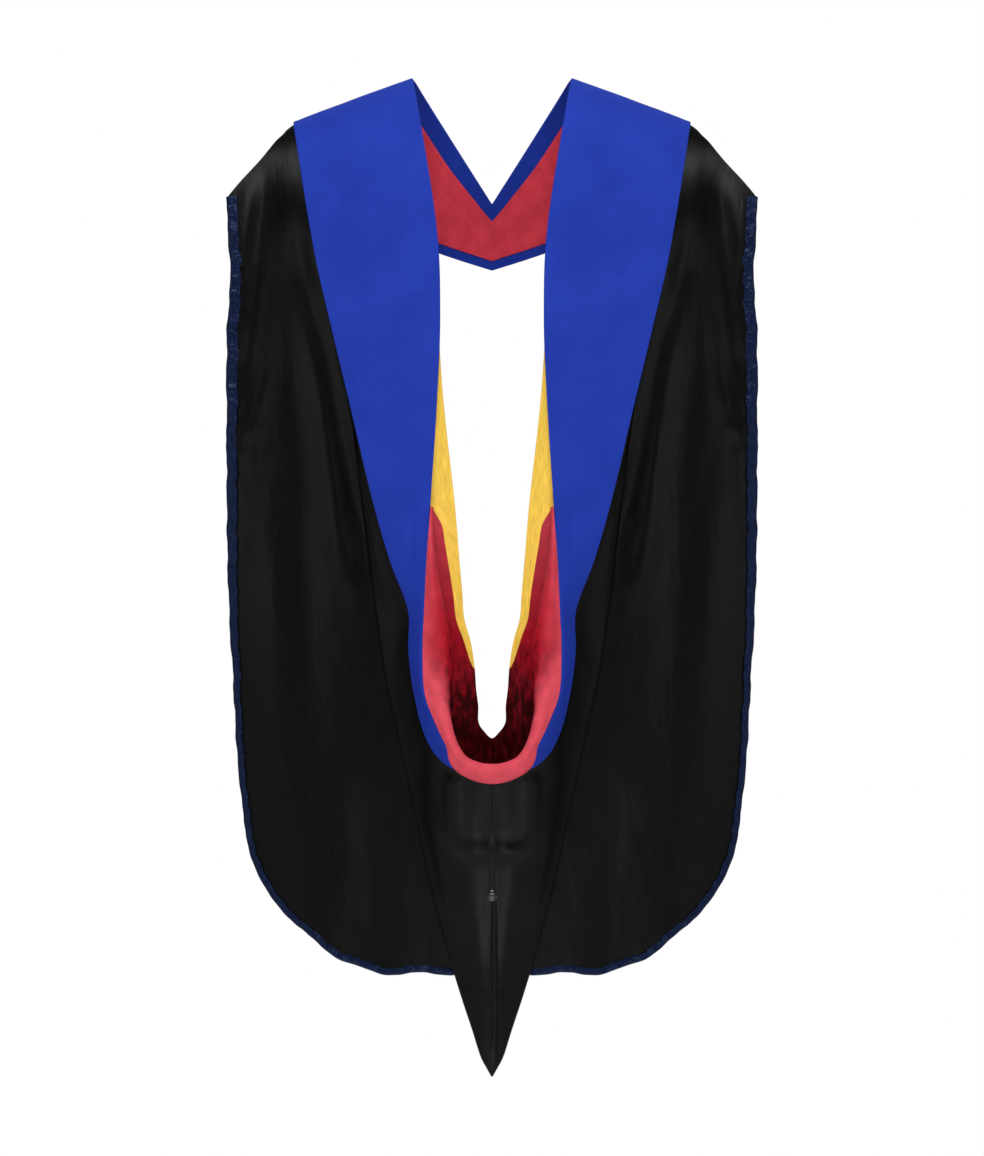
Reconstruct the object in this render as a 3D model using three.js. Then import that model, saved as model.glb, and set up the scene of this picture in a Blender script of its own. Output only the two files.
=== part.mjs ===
// Academic hood of velvet and satin, as it hangs over the shoulders, seen from the wearer's back at -Y.
// Millimetres, +Z up. The origin lies between the two neck corners of the shoulder fold.
import * as THREE from "three";

// Yoke over the shoulders
const NECK_WIDTH = 165; // between the two neck corners of the shoulder fold
const FACING_WIDTH = 134; // velvet band, measured along the shoulder fold
const SHOULDER_SLOPE = 20; // degrees that the shoulder fold falls outwards
const SHOULDER_ROUND = 150; // height in which the shoulder rounds into the upright back
const CHEST_ROUND = 200; // height in which the shoulder rounds into the upright chest
const BACK_DEPTH = 90; // shoulder fold to the hanging back
const CHEST_DEPTH = 98; // shoulder fold to the front band
const SIDE_WRAP = 0.45; // share of the depth that is gone at the outer edges of the panels
const FRONT_DROP = 132; // shoulder fold to the throat of the front V
const FRONT_BAND = 70; // height of the front band on its centre line
const LINING_TOP_MARGIN = 18; // velvet turned in over the upper edge of the front band
const LINING_LOW_MARGIN = 10; // velvet turned in over the lower edge of the front band

// Cowl and tail
const COWL_DROP = 742; // shoulder fold to the underside of the turned-out roll
const COWL_DEPTH = 82; // how far the rim of the cowl stands off the back
const MOUTH_RISE = 46; // back edge of the mouth above the roll
const ROLL_RISE = 16; // height of the roll on the centre line
const ROLL_PUFF = 5; // swelling of the roll over the rim
const BODY_SIDE = 37; // widest strip of shell beside the velvet
const TAIL_LENGTH = 312; // roll to the tip of the tail
const POCKET_SHARE = 0.34; // part of the way from velvet to fold that the lining goes down
const BAG_EDGE = 8; // thickness of the bag beside its side folds
const FOLD_ROUND = 3; // radius of the side folds
const CENTRE_DIP = 7; // how far the cord pulls in the shell on the centre line
const DIP_WIDTH = 16; // how far beside the centre line that reaches

// Side panels
const PANEL_WIDTH = 555; // over both panels
const PANEL_DROP = 942; // shoulder fold to the lower edge
const CORNER_DROP = 127; // shoulder fold to the upper outer corners
const LOWER_INSET = 23; // how far the outer edge comes in above the rounded lower corner
const INSET_POWER = 5; // how late it does so
const ROUND_WIDTH = 138; // width of the rounded lower corner
const ROUND_HEIGHT = 134; // height of the rounded lower corner
const ROUND_POWER = 1.5; // 2 is an ellipse, 1 a straight slant
const FOLD_DEPTH = 9; // depth of the soft folds in the panels
const FOLD_CLEARANCE = 30; // beside the bag, where those folds start

// Cloth
const VELVET_WALL = 2.4;
const SATIN_WALL = 1.5;
const LINING_WALL = 1.2;
const BINDING_WALL = 1.2;
const BINDING_WIDTH = 10; // leg of the binding at the upper corner
const BINDING_LOW_WIDTH = 6; // leg of the binding at the lower end
const CLEAR = 0.4; // between two layers of cloth
const YOKE_CLEAR = 0.6; // between panel and velvet on the rounded shoulder
const BINDING_CLEAR = 0.6; // between a panel and the legs of its binding
const FACING_LAP = 8; // shell tucked under the velvet
const NOSE = 2.4; // edge of the velvet inside the roll

// Cord and button
const CORD_DIAMETER = 2.6;
const CORD_SPREAD = 4.4; // between the middles of the two strands
const CORD_DROP = 118; // roll to the button
const BUTTON_DIAMETER = 12;
const BUTTON_HEIGHT = 5;
const SHANK_DIAMETER = 2.6;

// The back of the hood, from the shoulder fold to the middle of the cowl, a row for each section.
// fall: height of the rim, share of COWL_DROP. rim: its half width, share of half NECK_WIDTH.
// facing: rim to velvet seam, share of FACING_WIDTH. sink: seam below rim, share of the shoulder's fall.
// side, tail: fold beyond and below the seam, shares of BODY_SIDE and TAIL_LENGTH.
// stand, seat: rim and seam off the back, shares of COWL_DEPTH.
// turn, lift: inner edge of the roll, share of the rim's half width and of ROLL_RISE.
// mouth, rise: back edge of the mouth, share of the rim's half width and of MOUTH_RISE.
// gold: share of the back layer where the gold lining begins.
const SECTIONS = table(
  ["fall", "rim", "facing", "sink", "side", "tail", "stand", "seat", "turn", "lift", "mouth", "rise",
    "gold"],
  [0, 1, 0.94, 1, -0.3, 0, 0, 0, 1, 0, 1, 0, 0.5],
  [0.202, 0.707, 0.96, 0.6, -0.1, 0, 0.03, 0.02, 1, 0, 1.06, 0, 0.5],
  [0.33, 0.652, 0.868, 0.18, 0.03, 0, 0.15, 0.13, 1, 0, 1.06, 0, 0.5],
  [0.457, 0.693, 0.69, 0, 0.06, 0, 0.22, 0.16, 1, 0, 0.89, 0, 0.5],
  [0.598, 0.77, 0.454, 0, 0.37, 0, 0.36, 0.2, 0.99, 0, 0.62, 0, 0.74],
  [0.683, 0.821, 0.282, 0, 0.667, 0.01, 0.48, 0.24, 0.87, 0, 0.504, 0, 0.88],
  [0.754, 0.851, 0.113, 0, 1, 0.025, 0.62, 0.28, 0.7, 0, 0.422, 0.15, 0.918],
  [0.811, 0.872, 0.094, 0, 0.77, 0.085, 0.74, 0.32, 0.584, 0, 0.314, 0.27, 0.936],
  [0.87, 0.85, 0.069, 0, 0.51, 0.156, 0.84, 0.38, 0.596, 0.06, 0.26, 0.57, 0.985],
  [0.909, 0.728, 0.082, 0.09, 0.31, 0.275, 0.91, 0.47, 0.715, 0.46, 0.275, 0.68, 1],
  [0.945, 0.579, 0.086, 0.14, 0.17, 0.438, 0.96, 0.6, 0.8, 0.5, 0.3, 0.87, 1],
  [0.976, 0.439, 0.039, 0.02, 0.14, 0.618, 0.99, 0.73, 0.77, 0.6, 0.386, 1, 1],
  [0.993, 0.235, 0.01, -0.05, 0.055, 0.832, 1, 0.8, 0.72, 0.82, 0.33, 1.01, 1],
  [1, 0, 0, -0.07, 0, 1, 1, 0.82, 0, 1, 0, 1, 1],
);
const SHELL_TOP = 2; // section where the bag of the shell begins, hidden under the velvet
const ROLL_TOP = 4.25; // section where the red lining first shows
const GOLD_END = 7.75; // section where the gold lining runs out
const BOTTOM = SECTIONS.length - 1;

// Lower edge of the front band, from the shoulder fold to the centre.
// out: half width as a share of the velvet's outer corner. fall: share of the band's lowest point.
const BAND_EDGE = [
  { out: 1, fall: 0.225 },
  { out: 0.915, fall: 0.56 },
  { out: 0.675, fall: 0.75 },
  { out: 0.265, fall: 0.912 },
  { out: 0, fall: 1 },
];

// Hidden inner edge of a side panel, from the shoulder fold down.
// fall: share of PANEL_DROP. half: share of half NECK_WIDTH.
const PANEL_INNER = [
  { fall: 0, half: 1.06 },
  { fall: 0.17, half: 0.8 },
  { fall: 0.3, half: 0.76 },
  { fall: 0.48, half: 0.87 },
  { fall: 0.62, half: 0.95 },
  { fall: 0.72, half: 0.66 },
  { fall: 0.82, half: 0.3 },
  { fall: 1, half: 0.15 },
];

// Soft folds that hang in a panel. top, low: distance from the centre as shares of half PANEL_WIDTH.
// from, to: shares of PANEL_DROP between which it shows. width: share of half PANEL_WIDTH.
// rise: share of FOLD_DEPTH, negative where the cloth falls back.
const PANEL_FOLDS = [
  { top: 0.72, low: 0.52, from: 0.2, to: 0.62, width: 0.07, rise: 0.9 },
  { top: 0.82, low: 0.93, from: 0.04, to: 0.42, width: 0.06, rise: -0.9 },
  { top: 0.7, low: 0.76, from: 0.3, to: 1.1, width: 0.09, rise: -0.5 },
  { top: 0.84, low: 0.66, from: 0.4, to: 1.2, width: 0.08, rise: 0.6 },
  { top: 0.5, low: 0.36, from: 0.75, to: 1.3, width: 0.07, rise: -0.6 },
];

const NECK_HALF = NECK_WIDTH / 2;
const PANEL_HALF = PANEL_WIDTH / 2;
const SLOPE = Math.tan(THREE.MathUtils.degToRad(SHOULDER_SLOPE));
const SHOULDER_FALL = FACING_WIDTH * Math.sin(THREE.MathUtils.degToRad(SHOULDER_SLOPE));
const SHOULDER_OUT = FACING_WIDTH * Math.cos(THREE.MathUtils.degToRad(SHOULDER_SLOPE));
const VELVET_LOW = SATIN_WALL / 2 + YOKE_CLEAR;
const VELVET_HIGH = VELVET_LOW + VELVET_WALL;
const LINING_HIGH = -SATIN_WALL / 2 - CLEAR;
const LINING_LOW = LINING_HIGH - LINING_WALL;
const BACK_LIFT = SATIN_WALL + 4 * CLEAR;
const TAIL_LIFT = 2 * (BINDING_WALL + BINDING_CLEAR); // room for the panels' binding behind the tail

// Rows of numbers under named columns
function table(names, ...rows) {
  return rows.map((row) => Object.fromEntries(names.map((name, k) => [name, row[k]])));
}

const mix = THREE.MathUtils.lerp;
const smooth = THREE.MathUtils.smoothstep;

// Height of the shoulder fold. The velvet's upper face at the neck corners is level with the origin
function ridge(x) {
  return -VELVET_HIGH - Math.max(0, Math.abs(x) - NECK_HALF) * SLOPE;
}

// Point on the form that the hood hangs over. side is 1 on the chest and -1 on the back
function overBody(x, z, stand, side) {
  const wrap = Math.min(1.1, Math.abs(x) / PANEL_HALF);
  const depth = (side > 0 ? CHEST_DEPTH : BACK_DEPTH) * (1 - SIDE_WRAP * wrap * wrap) + stand;
  const round = side > 0 ? CHEST_ROUND : SHOULDER_ROUND;
  const fall = Math.max(0, ridge(x) - z);
  if (fall >= round) return new THREE.Vector3(x, side * depth, z);
  const angle = Math.acos(1 - fall / round);
  const y = side * depth * Math.sin(angle);
  return new THREE.Vector3(x, y, ridge(x) - round + (round + stand) * Math.cos(angle));
}

// Smooth curve through a table's named columns, one row for each step
function tableCurve(rows, names) {
  const values = rows.flatMap((row) => names.map((name) => row[name]));
  return new THREE.CubicInterpolant(rows.map((_, i) => i), values, names.length);
}

// Closed wall of cloth between two distances from a grid of points, measured along its normals
function wall(points, normals, low, high) {
  const rows = points.length;
  const columns = points[0].length;
  const position = [];
  const index = [];
  for (const offset of [low, high]) {
    for (let i = 0; i < rows; i++) {
      for (let j = 0; j < columns; j++) {
        const point = points[i][j].clone().addScaledVector(normals[i][j], offset);
        position.push(point.x, point.y, point.z);
      }
    }
  }
  const at = (i, j, upper) => (upper ? rows * columns : 0) + i * columns + j;
  const quad = (a, b, c, d) => index.push(a, b, c, a, c, d);
  for (let i = 0; i + 1 < rows; i++) {
    for (let j = 0; j + 1 < columns; j++) {
      const upper = [at(i, j, true), at(i + 1, j, true), at(i + 1, j + 1, true), at(i, j + 1, true)];
      const lower = [at(i, j, false), at(i, j + 1, false), at(i + 1, j + 1, false), at(i + 1, j, false)];
      const turned = points[i][j].x + points[i + 1][j].x > 0;
      quad(...(turned ? [...upper.slice(1), upper[0]] : upper));
      quad(...(turned ? [...lower.slice(1), lower[0]] : lower));
    }
  }
  for (let i = 0; i + 1 < rows; i++) {
    quad(at(i, 0, false), at(i + 1, 0, false), at(i + 1, 0, true), at(i, 0, true));
    const end = columns - 1;
    quad(at(i, end, true), at(i + 1, end, true), at(i + 1, end, false), at(i, end, false));
  }
  for (let j = 0; j + 1 < columns; j++) {
    quad(at(0, j, true), at(0, j + 1, true), at(0, j + 1, false), at(0, j, false));
    const end = rows - 1;
    quad(at(end, j, false), at(end, j + 1, false), at(end, j + 1, true), at(end, j, true));
  }
  return closed(position, index);
}

// Indexed geometry whose faces point outwards
function closed(position, index) {
  let volume = 0;
  const corner = (k) => new THREE.Vector3().fromArray(position, 3 * index[k]);
  for (let k = 0; k < index.length; k += 3) {
    volume += corner(k).dot(corner(k + 1).cross(corner(k + 2)));
  }
  if (volume < 0) index.reverse();
  const geometry = new THREE.BufferGeometry();
  geometry.setAttribute("position", new THREE.Float32BufferAttribute(position, 3));
  geometry.setIndex(index);
  geometry.computeVertexNormals();
  return geometry;
}

// Unit normals of a grid of points, from its neighbours across and down
function gridNormals(points) {
  const rows = points.length;
  const columns = points[0].length;
  return points.map((row, i) =>
    row.map((_, j) => {
      const down = points[Math.min(i + 1, rows - 1)][j].clone().sub(points[Math.max(i - 1, 0)][j]);
      const across = row[Math.min(j + 1, columns - 1)].clone().sub(row[Math.max(j - 1, 0)]);
      return across.cross(down).normalize();
    }),
  );
}

// A section of the left side as lengths, before it is mirrored
function sectionLengths(row) {
  const rimX = -row.rim * NECK_HALF;
  const rimZ = -mix(VELVET_HIGH, COWL_DROP, row.fall);
  const seamX = rimX - row.facing * FACING_WIDTH;
  const seamZ = rimZ - row.sink * SHOULDER_FALL;
  return {
    rimX,
    rimZ,
    seamX,
    seamZ,
    foldX: seamX - row.side * BODY_SIDE,
    foldZ: seamZ - row.tail * TAIL_LENGTH,
    turnX: rimX * row.turn,
    turnZ: rimZ + row.lift * ROLL_RISE,
    mouthX: rimX * row.mouth,
    mouthZ: rimZ + row.rise * MOUTH_RISE,
    stand: row.stand * COWL_DEPTH,
    seat: row.seat * COWL_DEPTH,
    gold: row.gold,
  };
}

// The whole U of the back, from the left shoulder through the cowl's middle to the right shoulder
const LEFT = SECTIONS.map(sectionLengths);
const mirrored = ({ rimX, seamX, foldX, turnX, mouthX, ...same }) => ({
  ...same,
  rimX: -rimX,
  seamX: -seamX,
  foldX: -foldX,
  turnX: -turnX,
  mouthX: -mouthX,
});
const ROUND_TRIP = [...LEFT, ...LEFT.slice(0, -1).reverse().map(mirrored)];
const COLUMNS = Object.keys(LEFT[0]);
const roundTrip = tableCurve(
  ROUND_TRIP.map((row) => Object.fromEntries(COLUMNS.map((name) => [name, row[name]]))),
  COLUMNS,
);

// Section at a place between the table's rows. The roll is at least as wide as its nose
function section(at) {
  const values = Array.from(roundTrip.evaluate(at));
  const s = Object.fromEntries(COLUMNS.map((name, k) => [name, values[k]]));
  const turn = corner(s, "turn");
  const rim = corner(s, "rim");
  const inwards = corner(s, "mouth").sub(rim).normalize();
  if (turn.distanceTo(rim) < NOSE) turn.copy(rim).addScaledVector(inwards, NOSE);
  return { ...s, turnX: turn.x, turnZ: turn.y };
}

// Straight way between two named corners of a section, in the plane of the photograph
const corner = (s, name) => new THREE.Vector2(s[name + "X"], s[name + "Z"]);

// How far the cord pulls the shell in, at a place beside and below the roll
function dip(x, z) {
  const below = (-z - COWL_DROP) / CORD_DROP;
  const shown = smooth(below, 0, 0.5) * (1 - smooth(below, 1, 2));
  return CENTRE_DIP * shown * Math.exp(-((x / DIP_WIDTH) ** 2));
}

// Distance of the bag's back layer from the form, growing towards the tail
function backLift(z) {
  return BACK_LIFT + TAIL_LIFT * smooth(-z, COWL_DROP * 0.8, COWL_DROP * 1.15);
}

// Front of the bag. Part 0 is the turn of the rim, 1 its outer line, 2 the velvet's seam, 3 the side fold
function frontPoint(s, part) {
  const names = ["turn", "rim", "seam", "fold"];
  const stands = [s.stand, s.stand, s.seat, BAG_EDGE + backLift(s.foldZ) - BACK_LIFT];
  const from = Math.min(2, Math.floor(part));
  const share = part - from;
  const end = corner(s, names[from + 1]);
  const start = corner(s, names[from]);
  if (from === 2) end.addScaledVector(start.clone().sub(end).normalize(), FOLD_ROUND);
  const place = start.lerp(end, share);
  const ease = from === 2 ? 1 - (1 - share) ** 1.35 : share;
  const stand = mix(stands[from], stands[from + 1], ease);
  return overBody(place.x, place.y, stand - (from === 2 ? dip(place.x, place.y) : 0), -1);
}

// Back of the bag: share 0 is the side fold and 1 the edge of the mouth
function backPoint(s, share) {
  const start = corner(s, "fold");
  const end = corner(s, "mouth");
  start.addScaledVector(end.clone().sub(start).normalize(), FOLD_ROUND);
  const place = start.lerp(end, share);
  return overBody(place.x, place.y, backLift(place.y), -1);
}

function foldPoint(s) {
  return overBody(s.foldX, s.foldZ, backLift(s.foldZ) + (BAG_EDGE - BACK_LIFT) / 2, -1);
}

// Places along the left side where sections are cut: finely over the shoulder, where it is round
const SHOULDER_STEPS = 8;
const shoulderTurn = (i) => 1 - Math.cos(((i / SHOULDER_STEPS) * Math.PI) / 2);
const shoulderPlaces = Array.from({ length: SHOULDER_STEPS }, (_, i) => shoulderTurn(i));
const backPlaces = [1, 1.5, SHELL_TOP, 3, 4, ROLL_TOP];
for (let at = 4.5; at <= BOTTOM; at += 0.5) backPlaces.push(at);
const bothSides = (places) => [...places, ...places.slice(0, -1).reverse().map((at) => 2 * BOTTOM - at)];

// Share of the velvet's width that covers the shell's upper edge
function lapShare(s) {
  return Math.min(0.5, FACING_LAP / frontPoint(s, 1).distanceTo(frontPoint(s, 2)));
}

// Columns across the velvet: from beside the rim to where it covers the shell
const RIM_SIDE = 1.04;
function facingParts(s, shares) {
  return shares.map((share) => mix(RIM_SIDE, 2 - lapShare(s), share));
}

// The velvet's own columns: its edge inside the roll, then out to the seam
function facingRow(s) {
  const roll = corner(s, "turn").distanceTo(corner(s, "rim"));
  const parts = [Math.min(1, NOSE / roll), ...facingParts(s, [0, 0.33, 0.67, 1]), 2];
  return parts.map((part) => frontPoint(s, part));
}

// Front band from the centre of the V to the shoulder fold
const bandEdge = tableCurve(BAND_EDGE, ["out", "fall"]);
const BAND_STEPS = 7;
function bandRow(along) {
  const lowest = FRONT_DROP + FRONT_BAND;
  const [out, fall] = bandEdge.evaluate(along * (BAND_EDGE.length - 1));
  const inner = new THREE.Vector2(-NECK_HALF * (1 - along), -mix(VELVET_HIGH, FRONT_DROP, along));
  const outerX = -(NECK_HALF + SHOULDER_OUT) * out;
  const outerZ = mix(ridge(outerX), -fall * lowest, Math.min(1, along * (BAND_EDGE.length - 1)));
  return { inner, outer: new THREE.Vector2(outerX, outerZ) };
}

// Shares of the way from shoulder fold to throat that turn the band evenly over the shoulder
const bandPlaces = Array.from({ length: BAND_STEPS }, (_, i) => {
  const last = Math.acos(Math.max(0, 1 - FRONT_DROP / CHEST_ROUND));
  return ((1 - Math.cos(last * (1 - i / BAND_STEPS))) * CHEST_ROUND) / FRONT_DROP;
});

// Points across the band: its upper edge, the lining's four columns and its lower edge
function bandPoints(along) {
  const { inner, outer } = bandRow(along);
  const length = inner.distanceTo(outer);
  const top = LINING_TOP_MARGIN / length;
  const low = 1 - LINING_LOW_MARGIN / length;
  return [0, top, mix(top, low, 1 / 3), mix(top, low, 2 / 3), low, 1].map((share) => {
    const place = inner.clone().lerp(outer, share);
    return overBody(place.x, place.y, 0, 1);
  });
}

const mirrorRow = (row) => row.map((p) => new THREE.Vector3(-p.x, p.y, p.z));
const mirrorX = (points) => points.map(mirrorRow).reverse();

// Velvet band of one side, cut a little short of the centre line where the two sides meet
function facing(side) {
  const front = bandPlaces.map(bandPoints);
  const places = [...shoulderPlaces, ...backPlaces];
  const left = [...front, ...places.map((at) => facingRow(section(at)))];
  const beyond = left.map((row, i) => {
    const at = places[i - front.length];
    if (at >= SHELL_TOP) return frontPoint(section(at), 2 + SHELL_FRONT[0]);
    const [before, last] = row.slice(-2);
    return last.clone().multiplyScalar(2).sub(before);
  });
  const wide = left.map((row, i) => [...row, beyond[i]]);
  const whole = [...mirrorX(wide.slice(1, 2)), ...wide, ...mirrorX(wide.slice(-2, -1))];
  const normals = gridNormals(whole).slice(1, -1);
  const shift = CLEAR / 2;
  const points = left.map((row) => row.map((p) => new THREE.Vector3(Math.min(p.x, -shift), p.y, p.z)));
  const geometry = wall(points, normals, VELVET_LOW, VELVET_HIGH);
  return side < 0 ? geometry : mirrorGeometry(geometry);
}

function mirrorGeometry(geometry) {
  const position = Array.from(geometry.attributes.position.array).map((v, k) => (k % 3 ? v : -v));
  return closed(position, Array.from(geometry.index.array));
}

// Red lining on the inside of the front band, from shoulder fold to shoulder fold
function neckLining() {
  const rows = [...bandPlaces].reverse().map(bandPoints);
  const points = [...rows, ...mirrorX(rows).slice(1)];
  const inside = (grid) => grid.map((row) => row.slice(1, -1));
  const face = CLEAR - VELVET_LOW;
  return wall(inside(points), inside(gridNormals(points)), face, face + LINING_WALL);
}

// Black satin bag: under the velvet's edge, down the front, round the side fold and up the back
const SHELL_FRONT = [POCKET_SHARE / 2, POCKET_SHARE, 0.55, 0.78, 1];
const SHELL_BACK = [0, 0.3, 0.62, 1];
function shellRow(s) {
  return [
    frontPoint(s, 2 - lapShare(s)),
    frontPoint(s, 2),
    ...SHELL_FRONT.map((share) => frontPoint(s, 2 + share)),
    foldPoint(s),
    ...SHELL_BACK.map((share) => backPoint(s, share)),
  ];
}

function shell() {
  const places = bothSides(backPlaces.filter((at) => at >= SHELL_TOP));
  const points = places.map((at) => shellRow(section(at)));
  return wall(points, gridNormals(points), -SATIN_WALL / 2, SATIN_WALL / 2);
}

// Red lining of the cowl: the roll outside the rim, over it, down into the pocket and up the back.
// part: place on the front of the bag. lift: share of the roll's height off it. puff: share of ROLL_PUFF.
const ROLL_OUTSIDE = [
  { part: 1, lift: 1, puff: 0 },
  { part: 0.55, lift: 1, puff: 1 },
  { part: 0.15, lift: 0.9, puff: 0.5 },
  { part: 0, lift: 0.5, puff: 0 },
];
const liningInside = (s) => [0.15, 0.6, ...facingParts(s, [0, 0.5, 1]), 2, ...POCKET_PARTS];
const POCKET_PARTS = [2 + POCKET_SHARE / 2, 2 + POCKET_SHARE];
const LINING_BACK = [0, 0.35, 0.7, 1];

function cowlLining() {
  const places = bothSides(backPlaces.filter((at) => at >= ROLL_TOP));
  const cuts = places.map(section);
  const outside = cuts.map((s) => ROLL_OUTSIDE.map((step) => frontPoint(s, step.part)));
  const outsideNormals = gridNormals(outside);
  const inside = cuts.map((s) => liningInside(s).map((part) => frontPoint(s, part)));
  const insideNormals = gridNormals(inside);
  const back = cuts.map((s) => backRow(s, pocketShare(s), s.gold - seamShare(s), LINING_BACK));
  const backNormals = gridNormals(back);
  const high = VELVET_HIGH + CLEAR + LINING_WALL / 2;
  const low = (LINING_HIGH + LINING_LOW) / 2;
  const points = cuts.map((s, i) => {
    const width = corner(s, "turn").distanceTo(corner(s, "rim"));
    const puff = ROLL_PUFF * smooth(width, NOSE, 5 * NOSE);
    const roll = ROLL_OUTSIDE.map((step, j) =>
      outside[i][j].addScaledVector(outsideNormals[i][j], -(step.lift * high + step.puff * puff)),
    );
    const inner = inside[i].map((p, j) => p.addScaledVector(insideNormals[i][j], low));
    const rear = back[i].map((p, j) => p.addScaledVector(backNormals[i][j], low));
    const outwards = corner(s, "fold").sub(corner(s, "seam")).normalize();
    const bottom = inner[inner.length - 1].clone().lerp(rear[0], 0.5);
    bottom.x += outwards.x * FOLD_ROUND;
    bottom.z += outwards.y * FOLD_ROUND;
    return [...roll, ...inner, bottom, ...rear];
  });
  return wall(points, gridNormals(points), -LINING_WALL / 2, LINING_WALL / 2);
}

// Row of points on the back layer between two shares of its way from fold to mouth
function backRow(s, from, to, shares) {
  return shares.map((share) => backPoint(s, mix(from, to, share)));
}

// Share of the back layer that lies level with the bottom of the lining's pocket
function pocketShare(s) {
  const bottom = corner(s, "seam").lerp(corner(s, "fold"), POCKET_SHARE);
  return bottom.distanceTo(corner(s, "fold")) / corner(s, "mouth").distanceTo(corner(s, "fold"));
}

// Share of the back layer taken by the gap between red and gold lining
function seamShare(s) {
  return CLEAR / corner(s, "mouth").distanceTo(corner(s, "fold"));
}

// Gold lining along the back edge of the mouth, hidden at the top under the velvet
function goldLining(side) {
  const places = [...backPlaces.filter((at) => at >= SHELL_TOP && at < GOLD_END), GOLD_END];
  const points = places.map((at) => {
    const s = section(at);
    return backRow(s, s.gold + seamShare(s), 1, [0, 0.5, 1]);
  });
  const geometry = wall(points, gridNormals(points), LINING_LOW, LINING_HIGH);
  return side < 0 ? geometry : mirrorGeometry(geometry);
}

// Outline of the left panel: shoulder edge and lower edge across, inner and outer edge down
const PANEL_ACROSS = [0, 0.12, 0.25, 0.36, 0.45, 0.53, 0.6, 0.68, 0.76, 0.84, 0.92, 1];
const RIDGE_PART = 0.6; // part of the way across that lies along the shoulder fold
const STRAIGHT_PART = 0.45; // part of the way across where the lower edge is straight
const innerHalf = new THREE.CubicInterpolant(
  PANEL_INNER.map((row) => row.fall),
  PANEL_INNER.map((row) => row.half),
  1,
);
const panelInnerX = (down) => -innerHalf.evaluate(down)[0] * NECK_HALF;

function panelTop(across) {
  const start = panelInnerX(0);
  const bend = -(NECK_HALF + SHOULDER_OUT + FACING_LAP);
  if (across <= RIDGE_PART) {
    const x = mix(start, bend, across / RIDGE_PART);
    return new THREE.Vector2(x, ridge(x));
  }
  const share = (across - RIDGE_PART) / (1 - RIDGE_PART);
  return new THREE.Vector2(bend, ridge(bend)).lerp(new THREE.Vector2(-PANEL_HALF, -CORNER_DROP), share);
}

function panelLower(across) {
  const roundEnd = -(PANEL_HALF - LOWER_INSET);
  const roundStart = roundEnd + ROUND_WIDTH;
  if (across <= STRAIGHT_PART) {
    const x = mix(panelInnerX(1), roundStart, across / STRAIGHT_PART);
    return new THREE.Vector2(x, -PANEL_DROP);
  }
  const angle = ((across - STRAIGHT_PART) / (1 - STRAIGHT_PART)) * (Math.PI / 2);
  const x = roundStart - ROUND_WIDTH * Math.sin(angle) ** (2 / ROUND_POWER);
  const z = -PANEL_DROP + ROUND_HEIGHT * (1 - Math.max(0, Math.cos(angle)) ** (2 / ROUND_POWER));
  return new THREE.Vector2(x, z);
}

function panelOuter(down) {
  const z = mix(-CORNER_DROP, -(PANEL_DROP - ROUND_HEIGHT), down);
  return new THREE.Vector2(-(PANEL_HALF - LOWER_INSET * down ** INSET_POWER), z);
}

function panelInner(down) {
  return new THREE.Vector2(panelInnerX(down), mix(panelTop(0).y, -PANEL_DROP, down));
}

// Place in the panel, blended from its four edges
function panelPlace(across, down) {
  const place = panelTop(across).multiplyScalar(1 - down);
  place.addScaledVector(panelLower(across), down);
  place.addScaledVector(panelInner(down), 1 - across);
  place.addScaledVector(panelOuter(down), across);
  place.addScaledVector(panelTop(0), -(1 - down) * (1 - across));
  place.addScaledVector(panelTop(1), -(1 - down) * across);
  place.addScaledVector(panelLower(0), -down * (1 - across));
  return place.addScaledVector(panelLower(1), -down * across);
}

// Half width of the bag between its side folds at a height
const bagRows = LEFT.slice(SHELL_TOP);
const bagHalf = new THREE.CubicInterpolant(
  bagRows.map((row) => -row.foldZ),
  bagRows.map((row) => -row.foldX),
  1,
);

// How far the panel's soft folds lift it off the back. None lifts it against the bag
function panelRipple(x, z) {
  const free = smooth(Math.abs(x) - bagHalf.evaluate(-z)[0], 0, FOLD_CLEARANCE);
  const fall = -z / PANEL_DROP;
  return PANEL_FOLDS.reduce((sum, fold) => {
    const along = (fall - fold.from) / (fold.to - fold.from);
    const middle = mix(fold.top, fold.low, along) * PANEL_HALF;
    const offset = (Math.abs(x) - middle) / (fold.width * PANEL_HALF);
    const shown = smooth(along, 0, 0.3) * (1 - smooth(along, 0.7, 1));
    return sum + fold.rise * FOLD_DEPTH * shown * free * Math.exp(-offset * offset);
  }, 0);
}

const PANEL_ROWS = 9;
const panelDown = shoulderPlaces.map((turned) => (turned * SHOULDER_ROUND) / PANEL_DROP);
for (let i = 0; i <= PANEL_ROWS; i++) {
  panelDown.push(mix(SHOULDER_ROUND / PANEL_DROP, 1, i / PANEL_ROWS));
}

function panelPoints() {
  return panelDown.map((down) =>
    PANEL_ACROSS.map((across) => {
      const place = panelPlace(across, down);
      return overBody(place.x, place.y, panelRipple(place.x, place.y), -1);
    }),
  );
}

function sidePanel(side) {
  const points = panelPoints();
  const geometry = wall(points, gridNormals(points), -SATIN_WALL / 2, SATIN_WALL / 2);
  return side < 0 ? geometry : mirrorGeometry(geometry);
}

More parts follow.
